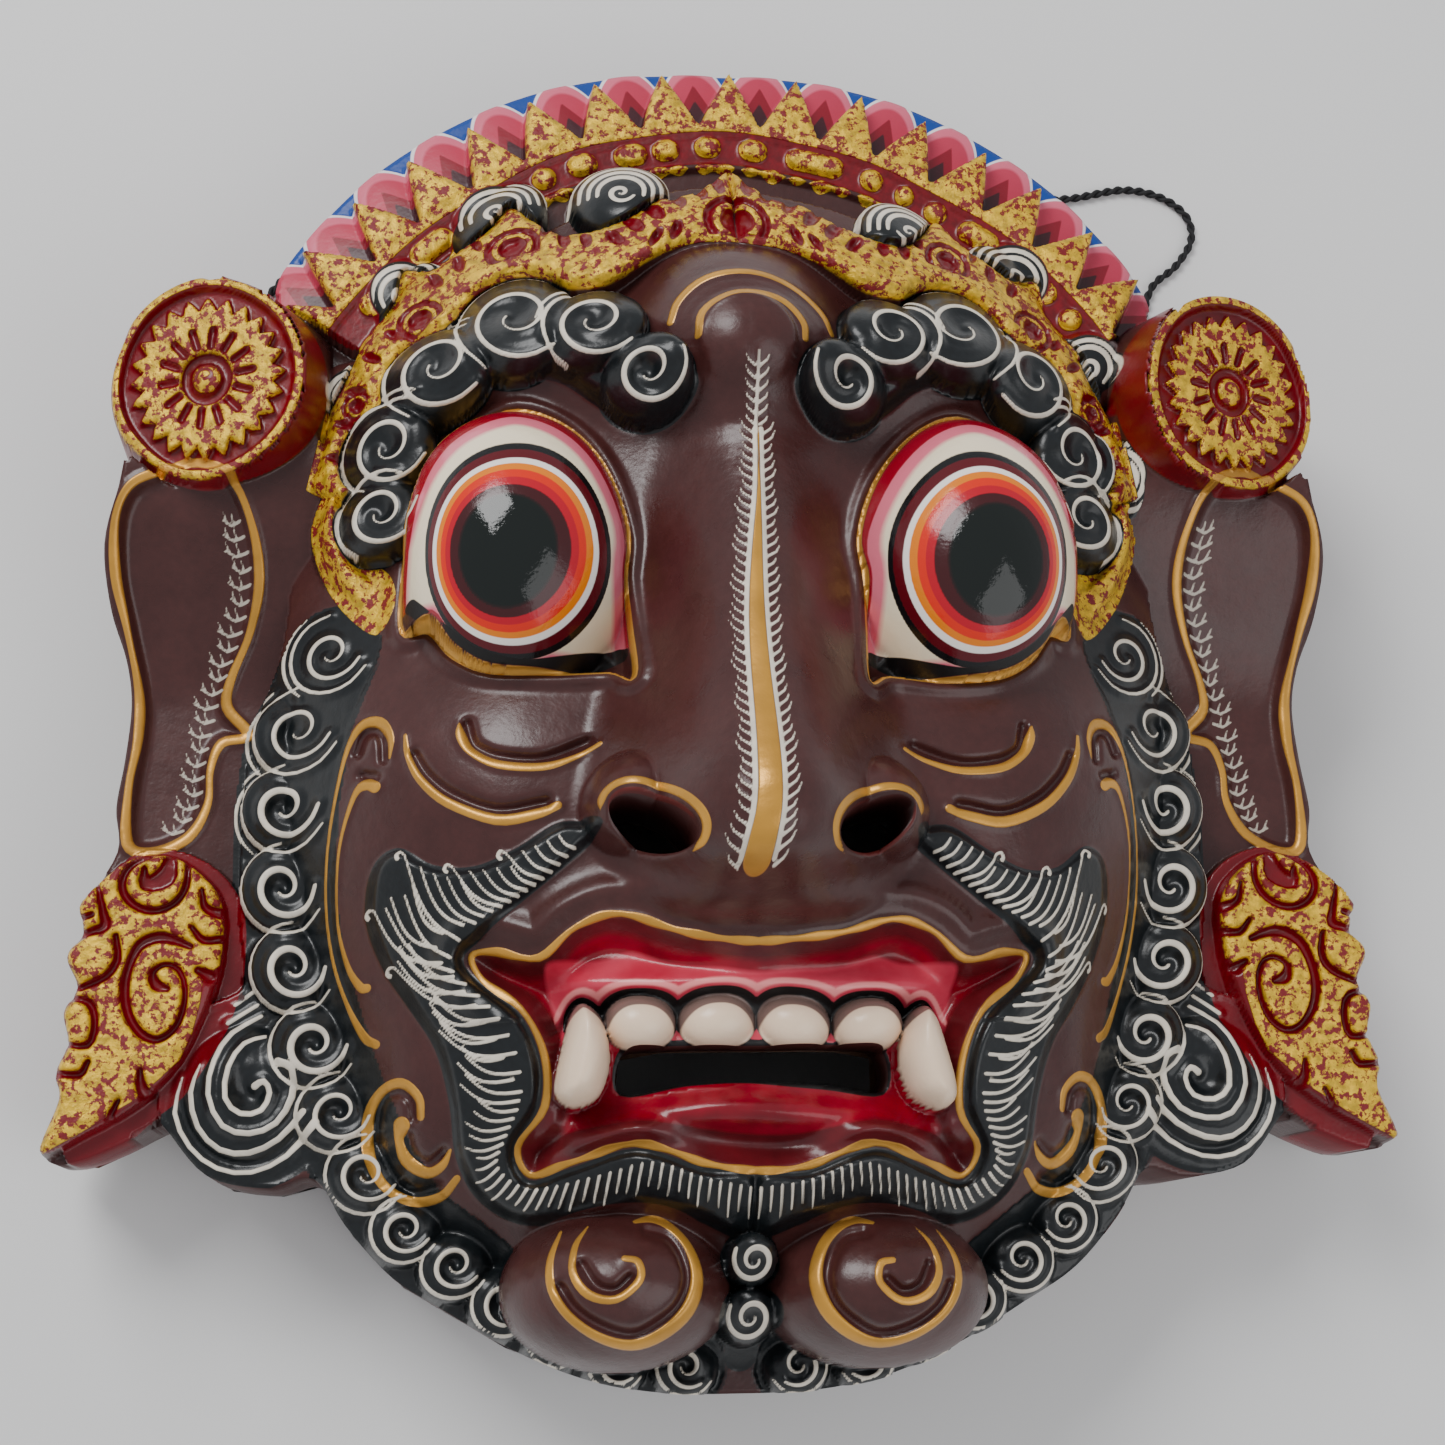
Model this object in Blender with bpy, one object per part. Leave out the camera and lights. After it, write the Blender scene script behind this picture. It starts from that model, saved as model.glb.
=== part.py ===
"""A carved and painted demon king mask of one block of wood, lying on its back rim with the face up.

The origin is at the middle of the rim on the table, +Y runs to the crown and +Z out of the face.
The carving is a relief: its height over the table is a function of the place on the plan.
Places and heights of the free form are in carver's units, 272 of which make the width of the mask,
so that one unit is a millimetre at the real size. Walls, bores and the cord have sizes of their own.
"""
import math

import bmesh
import bpy
import numpy as np
from mathutils import Matrix, Vector

# Driving dimensions, in metres
MASK_WIDTH = 0.272
WALL = 0.016
RIM_WIDTH = 0.014
EAR_BACK_GAP = 0.011
CORD_DIAMETER = 0.002
CORD_BORE = 0.0034
BORE_HEIGHT = 0.006
BORE_TURN = 20
KNOT_DIAMETER = 0.0056
TOUCH_GAP = 0.0003
TOOTH_COUNT = 15

PLAN_HALF_WIDTH = 136.0
UNIT = MASK_WIDTH / (2 * PLAN_HALF_WIDTH)
PLAN_CENTRE_Y = 9.78
GRID_STEP = 1.5
FACE_COUNT = 5450

# Outlines in plan, in carver's units. A half outline runs from top centre round to bottom centre.
HEAD_HALF = [(0, 149), (20, 148.5), (40, 144), (58, 135.5), (74, 124), (86, 111), (93, 100), (90, 84),
             (88, 60), (88, 40), (90, 20), (96, 2), (98, -16), (98, -34), (97, -49), (105, -54), (112, -65),
             (112, -77), (104, -86), (92, -88.5), (83, -87), (77, -96), (68, -106), (57, -113), (45, -120),
             (31, -126), (16, -129), (0, -129.5)]
EYE = [(66.5, 17.5), (66.5, 30), (64.5, 43), (58, 54), (46, 60.5), (35, 57), (27, 48), (23, 35), (24, 25),
       (23.5, 15), (24.5, 6.5), (29, 6.5), (39, 5.5), (50, 6.5), (57, 11), (61.5, 17)]
MOUTH_HALF = [(0, -47), (13, -45), (25, -41.5), (33, -43.5), (40, -48.5), (48, -46.5), (53, -47), (51, -52),
              (44, -58), (40, -67), (40, -76), (44.5, -83), (42, -88.5), (35, -86.5), (23, -83.5), (10, -87.5),
              (0, -88.5)]
WHISKER_OUTER = [(29, -26), (36, -23.5), (44, -28), (52, -31), (60, -30), (67, -25.5), (72, -28.5), (73, -38),
                 (69.5, -48), (64.5, -56), (59.5, -64), (57, -74), (56, -84), (52, -92), (44, -97), (33, -97),
                 (22, -95), (11, -97.5), (0, -100.5)]
WHISKER_INNER = [(0, -89), (10, -88), (23, -84), (35, -87), (42, -89), (44.5, -83.5), (40.5, -76), (40.5, -67),
                 (44.5, -58), (54, -49), (51, -44.5), (44, -39), (36, -33)]
MOUTH_HOLE = [(24.5, -66), (17, -65), (0, -65.2), (-17, -65), (-24.5, -66), (-25, -73.5), (-13, -72.5),
              (0, -72), (13, -72.5), (25, -73.5)]
BROW = [(9.5, 64), (13, 56.5), (20, 54.5), (28, 60), (36, 65.5), (46, 67), (55, 64), (61.5, 56), (66, 45),
        (68, 33), (76, 37), (80, 50), (79, 62), (69, 77), (57, 84), (44, 91), (32, 85), (20, 73)]
DIADEM_TOP = [(0, 117), (4, 113), (9, 109), (15, 108), (22, 103), (30, 100.5), (36, 101), (41, 106),
              (45.5, 111.5), (50, 106), (56, 102), (61, 99), (67, 99.5), (69, 92), (75, 84), (78, 76), (83, 66),
              (86.5, 51)]
DIADEM_FOOT = [(0, 96), (9, 95), (17, 91.5), (26, 86.5), (35, 86.5), (43, 89), (52, 86), (60, 80), (68, 71),
               (74, 60), (77, 46)]
TEMPLE = [(82, 51), (85, 43), (83, 34), (78, 24.5), (71.5, 18), (68, 24), (69.5, 31), (75, 36), (77, 42),
          (78, 48)]
EAR = [(86, 58), (100, 59), (111, 58), (120, 54.5), (125.5, 47), (126.5, 38), (125, 28), (122.5, 19),
       (121.5, 10), (122.5, 0), (124, -10), (124, -20), (119, -29), (100, -36), (86, -40)]
EAR_LINE = [(117, 53.5), (109.5, 56), (101.5, 53), (97, 44), (95.5, 34), (97.5, 24), (101, 15), (98.5, 8),
            (99.5, 3.5), (103.5, -2), (105.5, -10), (110, -18), (117, -21), (121.5, -19), (121, -8),
            (119, 2), (119, 12), (121.5, 24), (123.5, 34), (123.5, 44), (121, 50)]
LEAF = [(112.5, -21), (104, -24.5), (98.5, -33), (98, -46), (100.5, -58), (107, -69), (114, -75), (122, -81),
        (131, -84), (133.5, -70), (133.5, -62), (132.5, -52), (132.5, -42), (129.5, -31.5), (121, -23)]
LEAF_FACE_HEIGHT = 43.5
LEAF_PLATE_HEIGHT = 38.0
EAR_EDGE = [(123.5, 51), (126.5, 40), (125.5, 28), (122.5, 18), (121.5, 9), (122.5, -2), (124, -12),
            (123.5, -21)]
LEAF_EDGE = [(129.5, -32), (129, -38), (132, -43), (129.8, -49), (132.3, -54), (131.3, -60), (133.5, -66),
             (132.7, -71), (136, -81.5)]
LEAF_FOOT = [(130.5, -83), (122, -80), (114, -76)]
# The gilded face of a leaf: its inner side, then its lobed outer edge upwards
LEAF_FACE = [(121, -24.5), (113, -23), (106.5, -26.5), (102.5, -33), (102.5, -45), (105.5, -56), (111, -66),
             (118.5, -73), (127, -77.5), *LEAF_EDGE[::-1]]
# The line along which the ears spring from the head, from above the plug to below the leaf
EAR_ROOT = [(100, 104), (92, 90), (88.5, 80), (87.5, 60), (87.5, 40), (90, 20), (95.5, 2), (97.5, -16),
            (97.5, -34), (97, -48), (104.5, -54), (111, -64), (111, -72), (113, -80), (118, -88)]

# Locks of hair: centre and radius
BROW_LOCKS = [(19, 63.5, 8.5), (29, 75, 10), (44, 78, 12.5), (59.5, 70, 11), (69.5, 56, 10), (71, 42, 9)]
SIDE_LOCKS = [(80.5, 16, 8.6), (87, 1.5, 9.2), (89.5, -14, 9.2), (90, -30, 9.2), (88, -45.5, 9),
              (83.5, -60.5, 8.8), (78.5, -74, 8.2), (73, -86, 7.8), (65.5, -96.5, 7.6), (56, -104, 7.6),
              (46.5, -111.5, 7.4), (36, -118, 7), (24.5, -123, 6.6), (11, -124, 6.8)]
CROWN_LOCKS = [(33, 110, 11), (57, 105.5, 11.5), (74, 89, 10), (81, 66, 9.5)]
CHIN_LOCKS = [(0, -104.5, 5), (0, -115, 5.5)]
LARGE_LOCK = (95.5, -70, 17.5)

# Where the cord lies, from the left bore round behind the crown to the right one
CORD_ROUTE = [(-100, 84, 3.5), (-102.5, 98, 1), (-98, 110, 1), (-86, 123, 1), (-70, 135.5, 1), (-48, 147, 1),
              (-24, 153, 1), (0, 154.5, 1), (24, 154, 1), (44, 150.5, 1), (62, 143.5, 1), (74, 138.5, 1),
              (86, 138.5, 1), (99, 141, 1), (108, 139.5, 1), (114, 135, 1), (115, 129, 1), (111, 122.5, 1),
              (105, 117, 1), (102.5, 108, 1), (102.5, 97, 1), (100, 84, 3.5)]

CROWN_CENTRE = (0.0, 35.0)
CROWN_TURN = 1.2
TOOTH_PITCH = 7.5
TOOTH_RING = (98.7, 112.5)
BAND_RING = (88.0, 98.7)
PLUG = (106.5, 73.0, 21.5)
PLUG_HEIGHT = 55.5
PLUG_LEAN = 22
PLUG_DEPTH = 30.0
EYEBALL = (44.5, 30.5, 23.8, 31.0)
TOOTH_TOP = (48.5, 45.5)
# Cuts run from below the table, or from inside the hollow, to a height over the tip of the nose
CUT_BOTTOM = -5.0
CUT_INSIDE = 30.0
CUT_TOP = 125.0
NOSTRIL = (20.5, -26.5, 8.6, 4.3, 29.0)

# Heights of the middle line of the nose over the dome of the head, and its half widths, against y
NOSE_RISE = [(-47, 0), (-43.5, 3), (-40, 13), (-36, 24), (-32, 31), (-26, 34), (-18, 33.5), (0, 25), (28, 14),
             (50, 7), (58, 8), (66, 12), (75, 14.5), (84, 14), (92, 10), (99, 3), (106, 0)]
NOSE_HALF_WIDTH = [(-47, 12), (-43.5, 15), (-40, 18), (-36, 21), (-32, 24), (-26, 27), (-18, 28), (0, 25),
                   (28, 19), (50, 15), (58, 15), (66, 18), (75, 20.5), (84, 21), (92, 20), (99, 18), (106, 16)]


def smoothstep(low, high, value):
    s = np.clip((value - low) / (high - low), 0.0, 1.0)
    return s * s * (3.0 - 2.0 * s)


def smooth_curve(points, closed=False, steps=5):
    """A Catmull-Rom curve through the points, as an array of points."""
    knots = [np.array(p, float) for p in points]
    if closed:
        ring = [knots[-1], *knots, knots[0], knots[1]]
    else:
        ring = [2 * knots[0] - knots[1], *knots, 2 * knots[-1] - knots[-2]]
    found = []
    for a, b, c, d in zip(ring, ring[1:], ring[2:], ring[3:]):
        for t in np.arange(steps) / steps:
            found.append(0.5 * (2 * b + (c - a) * t + (2 * a - 5 * b + 4 * c - d) * t * t
                                + (3 * b - a - 3 * c + d) * t ** 3))
    if not closed:
        found.append(knots[-1])
    return np.array(found)


def profile(value, stations):
    """The smooth curve through (place, height) stations, read at each value."""
    line = smooth_curve(stations)
    return np.interp(value, line[:, 0], line[:, 1])


def mirrored(half):
    """A half outline closed by its mirror image."""
    return list(half) + [(-px, py) for px, py in half[::-1] if abs(px) > 1e-6]


def line_distance(x, y, line, closed):
    """Distance of each point to a run of straight pieces."""
    ends = np.roll(line, -1, axis=0) if closed else line[1:]
    best = np.full(x.shape, np.inf)
    for a, b in zip(line, ends):
        run = b - a
        t = np.clip(((x - a[0]) * run[0] + (y - a[1]) * run[1]) / max(run @ run, 1e-12), 0, 1)
        best = np.minimum(best, np.hypot(x - a[0] - t * run[0], y - a[1] - t * run[1]))
    return best


def depth_inside(x, y, line):
    """Signed distance to a closed line, positive inside, worked out only near it."""
    margin = 14.0
    found = np.full(x.shape, -margin)
    low, high = line.min(0) - margin, line.max(0) + margin
    near = (x > low[0]) & (x < high[0]) & (y > low[1]) & (y < high[1])
    px, py = x[near], y[near]
    inside = np.zeros(px.shape, bool)
    for a, b in zip(line, np.roll(line, -1, axis=0)):
        if a[1] != b[1]:
            crossing = (b[0] - a[0]) * (py - a[1]) / (b[1] - a[1]) + a[0]
            inside ^= ((a[1] > py) != (b[1] > py)) & (px < crossing)
    distance = line_distance(px, py, line, closed=True)
    found[near] = np.where(inside, distance, -distance)
    return found


def mound(x, y, cx, cy, sx, sy):
    """A soft round hill of height 1."""
    return np.exp(-0.5 * (((x - cx) / sx) ** 2 + ((y - cy) / sy) ** 2))


def ellipse(x, y, cx, cy, rx, ry, turn=0.0):
    """Squared distance from an ellipse's centre, 1 on its rim."""
    c, s = math.cos(math.radians(turn)), math.sin(math.radians(turn))
    u = (x - cx) * c + (y - cy) * s
    v = -(x - cx) * s + (y - cy) * c
    return (u / rx) ** 2 + (v / ry) ** 2


def head_dome(x, y):
    r = np.sqrt((x / 95.0) ** 2 + ((y - 5.0) / 130.0) ** 2)
    return 40.0 + 44.0 * (1.0 - np.minimum(r, 1.0) ** 3)


def face_form(side, y):
    """The bare face: dome, cheeks, brow, muzzle, jowls and nose."""
    z = head_dome(side, y)
    z = z + 8 * mound(side, y, 54, -10, 19, 19)
    z = z - 9 * mound(side, y, 45, 30, 24, 26)
    z = z + 7 * mound(side, y, 44, 70, 27, 8)
    z = z + 13 * mound(side, y, 0, -70, 42, 26)
    z = z + 7 * mound(side, y, 65, -80, 9, 13)
    across = np.clip(side / profile(y, NOSE_HALF_WIDTH), 0, 1)
    z = z + profile(y, NOSE_RISE) * (1 - across ** 2.3) ** 1.4
    wing = ellipse(side, y, 22.5, -21.5, 10.5, 10.5)
    return np.maximum(z, np.where(wing < 1, 84 + 19 * np.sqrt(np.clip(1 - wing, 0, 1)), 0))


def lock_of_hair(z, foot, side, y, lock, rise):
    """A domed lock with a hollow eye."""
    cx, cy, radius = lock
    out = np.hypot(side - cx, y - cy) / radius
    dome = rise * np.sqrt(np.clip(1 - out * out, 0, 1)) - 0.3 * rise * np.exp(-(out / 0.3) ** 2)
    return np.where(out < 1, np.maximum(z, foot + dome), z)


def large_lock(z, side, y):
    """The large lock at the corner of the jaw, with a groove winding in to its eye."""
    cx, cy, radius = LARGE_LOCK
    out = np.hypot(side - cx, y - cy) / radius
    angle = np.arctan2(y - cy, side - cx)
    groove = np.abs((out * 2.2 - angle / (2 * math.pi)) % 1.0 - 0.5)
    cut = np.exp(-(groove / 0.2) ** 2) * smoothstep(1.0, 0.8, out) * smoothstep(0.05, 0.3, out)
    dome = 30 + 17 * np.sqrt(np.clip(1 - out * out, 0, 1)) - 3 * cut
    return np.where(out < 1, np.maximum(z, dome), z)


def carve_mouth(z, x, side, y):
    """Whisker band, lips, gums and the six upper teeth."""
    band = smooth_curve(mirrored(WHISKER_OUTER), closed=True)
    mouth = smooth_curve(mirrored(MOUTH_HALF), closed=True)
    whiskers = smooth_curve(WHISKER_OUTER + WHISKER_INNER, closed=True)
    z = z + 3.4 * smoothstep(-0.3, 2.4, depth_inside(side, y, whiskers))
    depth = depth_inside(x, y, mouth)
    lip_roll = (y > -60) & (depth_inside(x, y, band) > 0)
    z = z + lip_roll * 2.2 * np.exp(-((depth + 4.5) / 2.6) ** 2)
    z = z - 8.5 * smoothstep(0.0, 6.5, depth)
    inside = smoothstep(0.0, 3.0, depth)
    z = z + inside * 4.0 * np.exp(-((y + 54) / 3.2) ** 2) * smoothstep(40, 30, side)
    lower_lip = -79.5 + 1.5 * np.cos(np.pi * x / 40)
    z = z + inside * 6.5 * np.exp(-((y - lower_lip) / 4.2) ** 2) * smoothstep(44, 34, side)
    for centre in (7.1, 21.1):
        tooth = ellipse(side, y, centre, -60.5, 6.9, 6.4)
        z = np.maximum(z, np.where(tooth < 1, 78.5 + 8 * np.clip(1 - tooth, 0, 1) ** 0.35, 0))
    fang = line_distance(side, y, np.array([(30.5, -60.0), (33.5, -75.5)]), closed=False)
    width = 4.6 - 0.07 * (-60 - y)
    return np.maximum(z, np.where(fang < width, 77 + 11 * np.sqrt(np.clip(1 - (fang / width) ** 2, 0, 1)), 0))


def carve_eyes(z, side, y):
    """Lids, sockets and the bulging eyeballs, with a deep slit under each."""
    depth = depth_inside(side, y, smooth_curve(EYE, closed=True))
    ball = 66 + 31 * np.sqrt(np.clip(1 - ellipse(side, y, *EYEBALL), 0, 1))
    lid = z + 1.8 * np.exp(-((depth + 1.3) / 1.5) ** 2)
    slit = 3.0 + 2.0 * smoothstep(18, 10, y) * smoothstep(5.0, 2.5, depth)
    return np.where(depth > 0, np.maximum(ball, z - slit * smoothstep(0, 1.2, depth)), lid)


def carve_grooves(z, side, y):
    """Laugh lines and scrolls cut into the cheeks, the jowls and the chin."""
    lines = [[(55.5, -3), (54, -9), (48, -12.5), (39, -12.5), (29, -9)],
             [(66, -4), (63, -13), (57, -19.5), (48, -22.5), (37, -20.5)],
             [(71, -9), (72, -1), (76.5, -1), (80, -12), (82, -28), (81, -42), (77, -54), (71, -61)]]
    for line in lines:
        away = line_distance(side, y, smooth_curve(line), closed=False)
        z = z - 1.8 * np.exp(-(away / 1.1) ** 2)
    return z


def carve_crown(z, x, y):
    """The sloping ring of petals and the raised band inside it. The teeth are added on top."""
    r = np.hypot(x - CROWN_CENTRE[0], y - CROWN_CENTRE[1])
    low, high = BAND_RING
    ring = 42.5 - 0.28 * (r - high)
    ring = ring + (48.0 - ring) * smoothstep(high + 0.8, high - 0.8, r)
    ring = ring + 1.6 * smoothstep(2.0, 0.8, np.abs(r - 93.2) - 1.6)
    ring = ring + (46.5 - ring) * smoothstep(low + 0.6, low - 1.0, r)
    angle = np.degrees(np.arctan2(x - CROWN_CENTRE[0], y - CROWN_CENTRE[1]))
    return np.where((np.abs(angle) < 58) & (r > 80), ring, z)


def carve_diadem(z, side, y):
    """The leafy band over the forehead, with its three brooches a side."""
    band = np.concatenate([smooth_curve(DIADEM_TOP), smooth_curve(DIADEM_FOOT)[::-1]])
    depth = depth_inside(side, y, band)
    plate = head_dome(side, y) + 7 + 1.8 * smoothstep(0, 2.5, depth)
    for cx, cy, radius in ((0, 101.5, 6.5), (44, 98.5, 5), (65, 86, 4.5)):
        out = np.hypot(side - cx, y - cy) / radius
        plate = plate - 2.4 * smoothstep(1.1, 0.8, out) + 2.4 * smoothstep(0.6, 0.3, out)
    return np.where(depth > 0, np.maximum(z, plate), z)


def carve_head(x, y):
    """Height of the head over the table, in carver's units."""
    side = np.abs(x)
    z = face_form(side, y)
    bare = z
    z = z + 1.3 * smoothstep(0, 1.5, 10.2 - np.hypot(x, y - 70)) * smoothstep(60, 70, y)
    z = z + 4.5 * smoothstep(-0.3, 3.0, depth_inside(side, y, smooth_curve(BROW, closed=True)))
    z = carve_grooves(z, side, y)
    chin = ellipse(side, y, 25, -109.5, 22.5, 15.5)
    z = np.maximum(z, np.where(chin < 1, 54 + 26 * np.sqrt(np.clip(1 - chin, 0, 1)), 0))
    z = carve_mouth(z, x, side, y)
    z = carve_eyes(z, side, y)
    for lock in BROW_LOCKS:
        z = lock_of_hair(z, bare + 3.5, side, y, lock, 8.0)
    for lock in SIDE_LOCKS:
        z = lock_of_hair(z, 42.0, side, y, lock, 8.0)
    for lock in CHIN_LOCKS:
        z = lock_of_hair(z, bare + 7, side, y, lock, 5.0)
    z = large_lock(z, side, y)
    z = carve_crown(z, x, y)
    for lock in CROWN_LOCKS:
        z = lock_of_hair(z, head_dome(side, y) + 1.0, side, y, lock, 9.0)
    z = carve_diadem(z, side, y)
    temple = depth_inside(side, y, smooth_curve(TEMPLE, closed=True))
    return np.maximum(z, np.where(temple > 0, 52 + 7 * smoothstep(0, 4, temple), 0))


def carve_ear(x, y):
    """Height of an ear and of its leaf pendant, in carver's units."""
    side = np.abs(x)
    z = 35 + 17 * smoothstep(8, 58, y)
    z = z - 2.0 * smoothstep(0, 3, depth_inside(side, y, smooth_curve(EAR_LINE, closed=True)))
    z = np.where(depth_inside(side, y, smooth_curve(EAR, closed=True)) > -3, z, 34.0)
    leaf = depth_inside(side, y, smooth_curve(LEAF, closed=True))
    z = np.where(leaf > 0, np.maximum(z, LEAF_PLATE_HEIGHT), z)
    face = depth_inside(side, y, smooth_curve(LEAF_FACE, closed=True, steps=2))
    z = np.where(face > -0.2, LEAF_FACE_HEIGHT, z)
    cx, cy, radius = PLUG
    under_plug = PLUG_HEIGHT - 4.0 - math.tan(math.radians(PLUG_LEAN)) * (side - cx)
    z = np.where(np.hypot(side - cx, y - cy) < radius + 1, np.minimum(z, under_plug), z)
    return np.where(side > 86, z, 0)


def carve(x, y):
    """Height of the whole carving over the table, in carver's units."""
    on_head = depth_inside(x, y, smooth_curve(mirrored(HEAD_HALF), closed=True)) > -0.7
    head = np.where(on_head, carve_head(x, y), 0)
    return np.maximum(head, carve_ear(x, y))


def whole_outline():
    """The silhouette from top centre round by plug, ear, leaf and large lock to bottom centre, and back."""
    cx, cy, radius = PLUG
    wide = (radius - 0.5) * math.cos(math.radians(PLUG_LEAN))
    arc = [(cx + wide * math.cos(a), cy + (radius - 0.5) * math.sin(a))
           for a in np.radians(np.arange(130, -45, -14.0))]
    half = HEAD_HALF[:7] + arc + EAR_EDGE + LEAF_EDGE + LEAF_FOOT + HEAD_HALF[17:]
    line = smooth_curve(mirrored(half), closed=True)
    line[:, 0] = np.clip(line[:, 0], -PLAN_HALF_WIDTH, PLAN_HALF_WIDTH)
    return line


def hollow_share(x, y):
    """Distance from the middle of the hollow as a share of its half size, 1 at its edge."""
    wide = 97.0 - RIM_WIDTH / UNIT
    tall = 134.0 - RIM_WIDTH / UNIT
    return ((np.abs(x) / wide) ** 2.5 + (np.abs(y - 5.0) / tall) ** 2.5) ** (1 / 2.5)


def hollow_height(x, y):
    """Height of the hollow's ceiling: a wall's thickness under the dome, closing down to the rim."""
    share = np.clip(hollow_share(x, y), 0, 1)
    crown = head_dome(x, y) - WALL / UNIT + 10 * mound(x, y, 0, -66, 32, 20) + 13 * mound(x, y, 0, -14, 13, 22)
    return crown * (1 - share ** 5) ** 0.5


def link(name, mesh):
    made = bpy.data.objects.new(name, mesh)
    bpy.context.scene.collection.objects.link(made)
    return made


def mesh_from(bm, name):
    bmesh.ops.recalc_face_normals(bm, faces=bm.faces[:])
    mesh = bpy.data.meshes.new(name)
    bm.to_mesh(mesh)
    bm.free()
    return mesh


def relief_solid(name, outline, height, step, floor):
    """A solid whose plan is the outline, whose top follows height(x, y) and whose underside is flat."""
    low, high = outline.min(0) - step, outline.max(0) + step
    size = high - low
    bm = bmesh.new()
    place = Matrix.Translation((*((low + high) / 2), 0)) @ Matrix.Diagonal((size[0] / 2, size[1] / 2, 1, 1))
    bmesh.ops.create_grid(bm, x_segments=int(size[0] / step), y_segments=int(size[1] / step), size=1.0,
                          matrix=place)
    at = np.array([v.co[:2] for v in bm.verts])
    outside = depth_inside(at[:, 0], at[:, 1], outline) < 0.25 * step
    bmesh.ops.delete(bm, geom=[v for v, out in zip(bm.verts, outside) if out], context="VERTS")
    bmesh.ops.delete(bm, geom=[v for v in bm.verts if len(v.link_faces) == 0], context="VERTS")
    bmesh.ops.delete(bm, geom=[e for e in bm.edges if len(e.link_faces) == 0], context="EDGES")
    starts, ends = outline, np.roll(outline, -1, axis=0)
    runs = ends - starts
    for v in bm.verts:
        if v.is_boundary:
            offset = np.array(v.co[:2]) - starts
            t = np.clip((offset * runs).sum(1) / np.maximum((runs * runs).sum(1), 1e-12), 0, 1)
            near = starts + runs * t[:, None]
            v.co.xy = near[np.argmin(((near - v.co[:2]) ** 2).sum(1))]
    at = np.array([v.co[:2] for v in bm.verts])
    for v, z in zip(bm.verts, height(at[:, 0], at[:, 1])):
        v.co.z = z
    rim = [e for e in bm.edges if e.is_boundary]
    skirt = bmesh.ops.extrude_edge_only(bm, edges=rim)["geom"]
    for v in skirt:
        if isinstance(v, bmesh.types.BMVert):
            v.co.z = floor
    bmesh.ops.holes_fill(bm, edges=[e for e in bm.edges if e.is_boundary], sides=0)
    bmesh.ops.remove_doubles(bm, verts=bm.verts[:], dist=0.02)
    bmesh.ops.scale(bm, vec=(UNIT, UNIT, UNIT), verts=bm.verts[:])
    return link(name, mesh_from(bm, name))


def hollow_cutter():
    """The space hollowed out behind the face, open at the rim."""
    bm = bmesh.new()
    ring = bmesh.ops.create_circle(bm, segments=44, radius=1.0)["verts"]
    rim = bm.edges[:]
    edges = rim
    for share in (0.94, 0.84, 0.7, 0.52, 0.32, 0.12):
        grown = bmesh.ops.extrude_edge_only(bm, edges=edges)["geom"]
        edges = [e for e in grown if isinstance(e, bmesh.types.BMEdge)]
        ring = [v for v in grown if isinstance(v, bmesh.types.BMVert)]
        for v in ring:
            v.co = v.co.normalized() * share
    bmesh.ops.holes_fill(bm, edges=edges, sides=0)
    for v in bm.verts:
        way = v.co.normalized()
        reach = v.co.length / hollow_share(way.x, way.y + 5.0)
        v.co = (way.x * reach, way.y * reach + 5.0, 0)
        v.co.z = max(hollow_height(v.co.x, v.co.y), 0.6)
    grown = bmesh.ops.extrude_edge_only(bm, edges=rim)["geom"]
    edges = [e for e in grown if isinstance(e, bmesh.types.BMEdge)]
    for v in grown:
        if isinstance(v, bmesh.types.BMVert):
            v.co.z = CUT_BOTTOM
    bmesh.ops.holes_fill(bm, edges=edges, sides=0)
    bmesh.ops.scale(bm, vec=(UNIT, UNIT, UNIT), verts=bm.verts[:])
    return cutter("hollow_cutter", bm)


def cutter(name, bm):
    made = link(name, mesh_from(bm, name))
    made.hide_render = True
    made.display_type = "WIRE"
    return made


def prism_cutter(name, outline, low, high):
    """A straight cut of the given plan, in carver's units, from low to high."""
    bm = bmesh.new()
    foot = bm.faces.new([bm.verts.new((*p, low)) for p in outline])
    top = bmesh.ops.extrude_face_region(bm, geom=[foot])["geom"]
    bmesh.ops.translate(bm, vec=(0, 0, high - low), verts=[v for v in top if isinstance(v, bmesh.types.BMVert)])
    bmesh.ops.scale(bm, vec=(UNIT, UNIT, UNIT), verts=bm.verts[:])
    return cutter(name, bm)


def crown_teeth():
    """The crown's row of pointed teeth."""
    foot, tip = TOOTH_RING
    half_width = math.radians(0.46 * TOOTH_PITCH)
    bm = bmesh.new()
    for i in range(TOOTH_COUNT):
        turn = math.radians(CROWN_TURN + (i - (TOOTH_COUNT - 1) / 2) * TOOTH_PITCH)
        corners = [(foot - 1.0, turn - half_width), (tip, turn), (foot - 1.0, turn + half_width)]
        low = [bm.verts.new((CROWN_CENTRE[0] + r * math.sin(a), CROWN_CENTRE[1] + r * math.cos(a), CUT_INSIDE))
               for r, a in corners]
        high = [bm.verts.new((*v.co[:2], z)) for v, z in zip(low, (TOOTH_TOP[0], TOOTH_TOP[1], TOOTH_TOP[0]))]
        bm.faces.new(low)
        bm.faces.new(high[::-1])
        for j in range(3):
            bm.faces.new((low[j], high[j], high[(j + 1) % 3], low[(j + 1) % 3]))
    bmesh.ops.scale(bm, vec=(UNIT, UNIT, UNIT), verts=bm.verts[:])
    return cutter("crown_teeth", bm)


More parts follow.
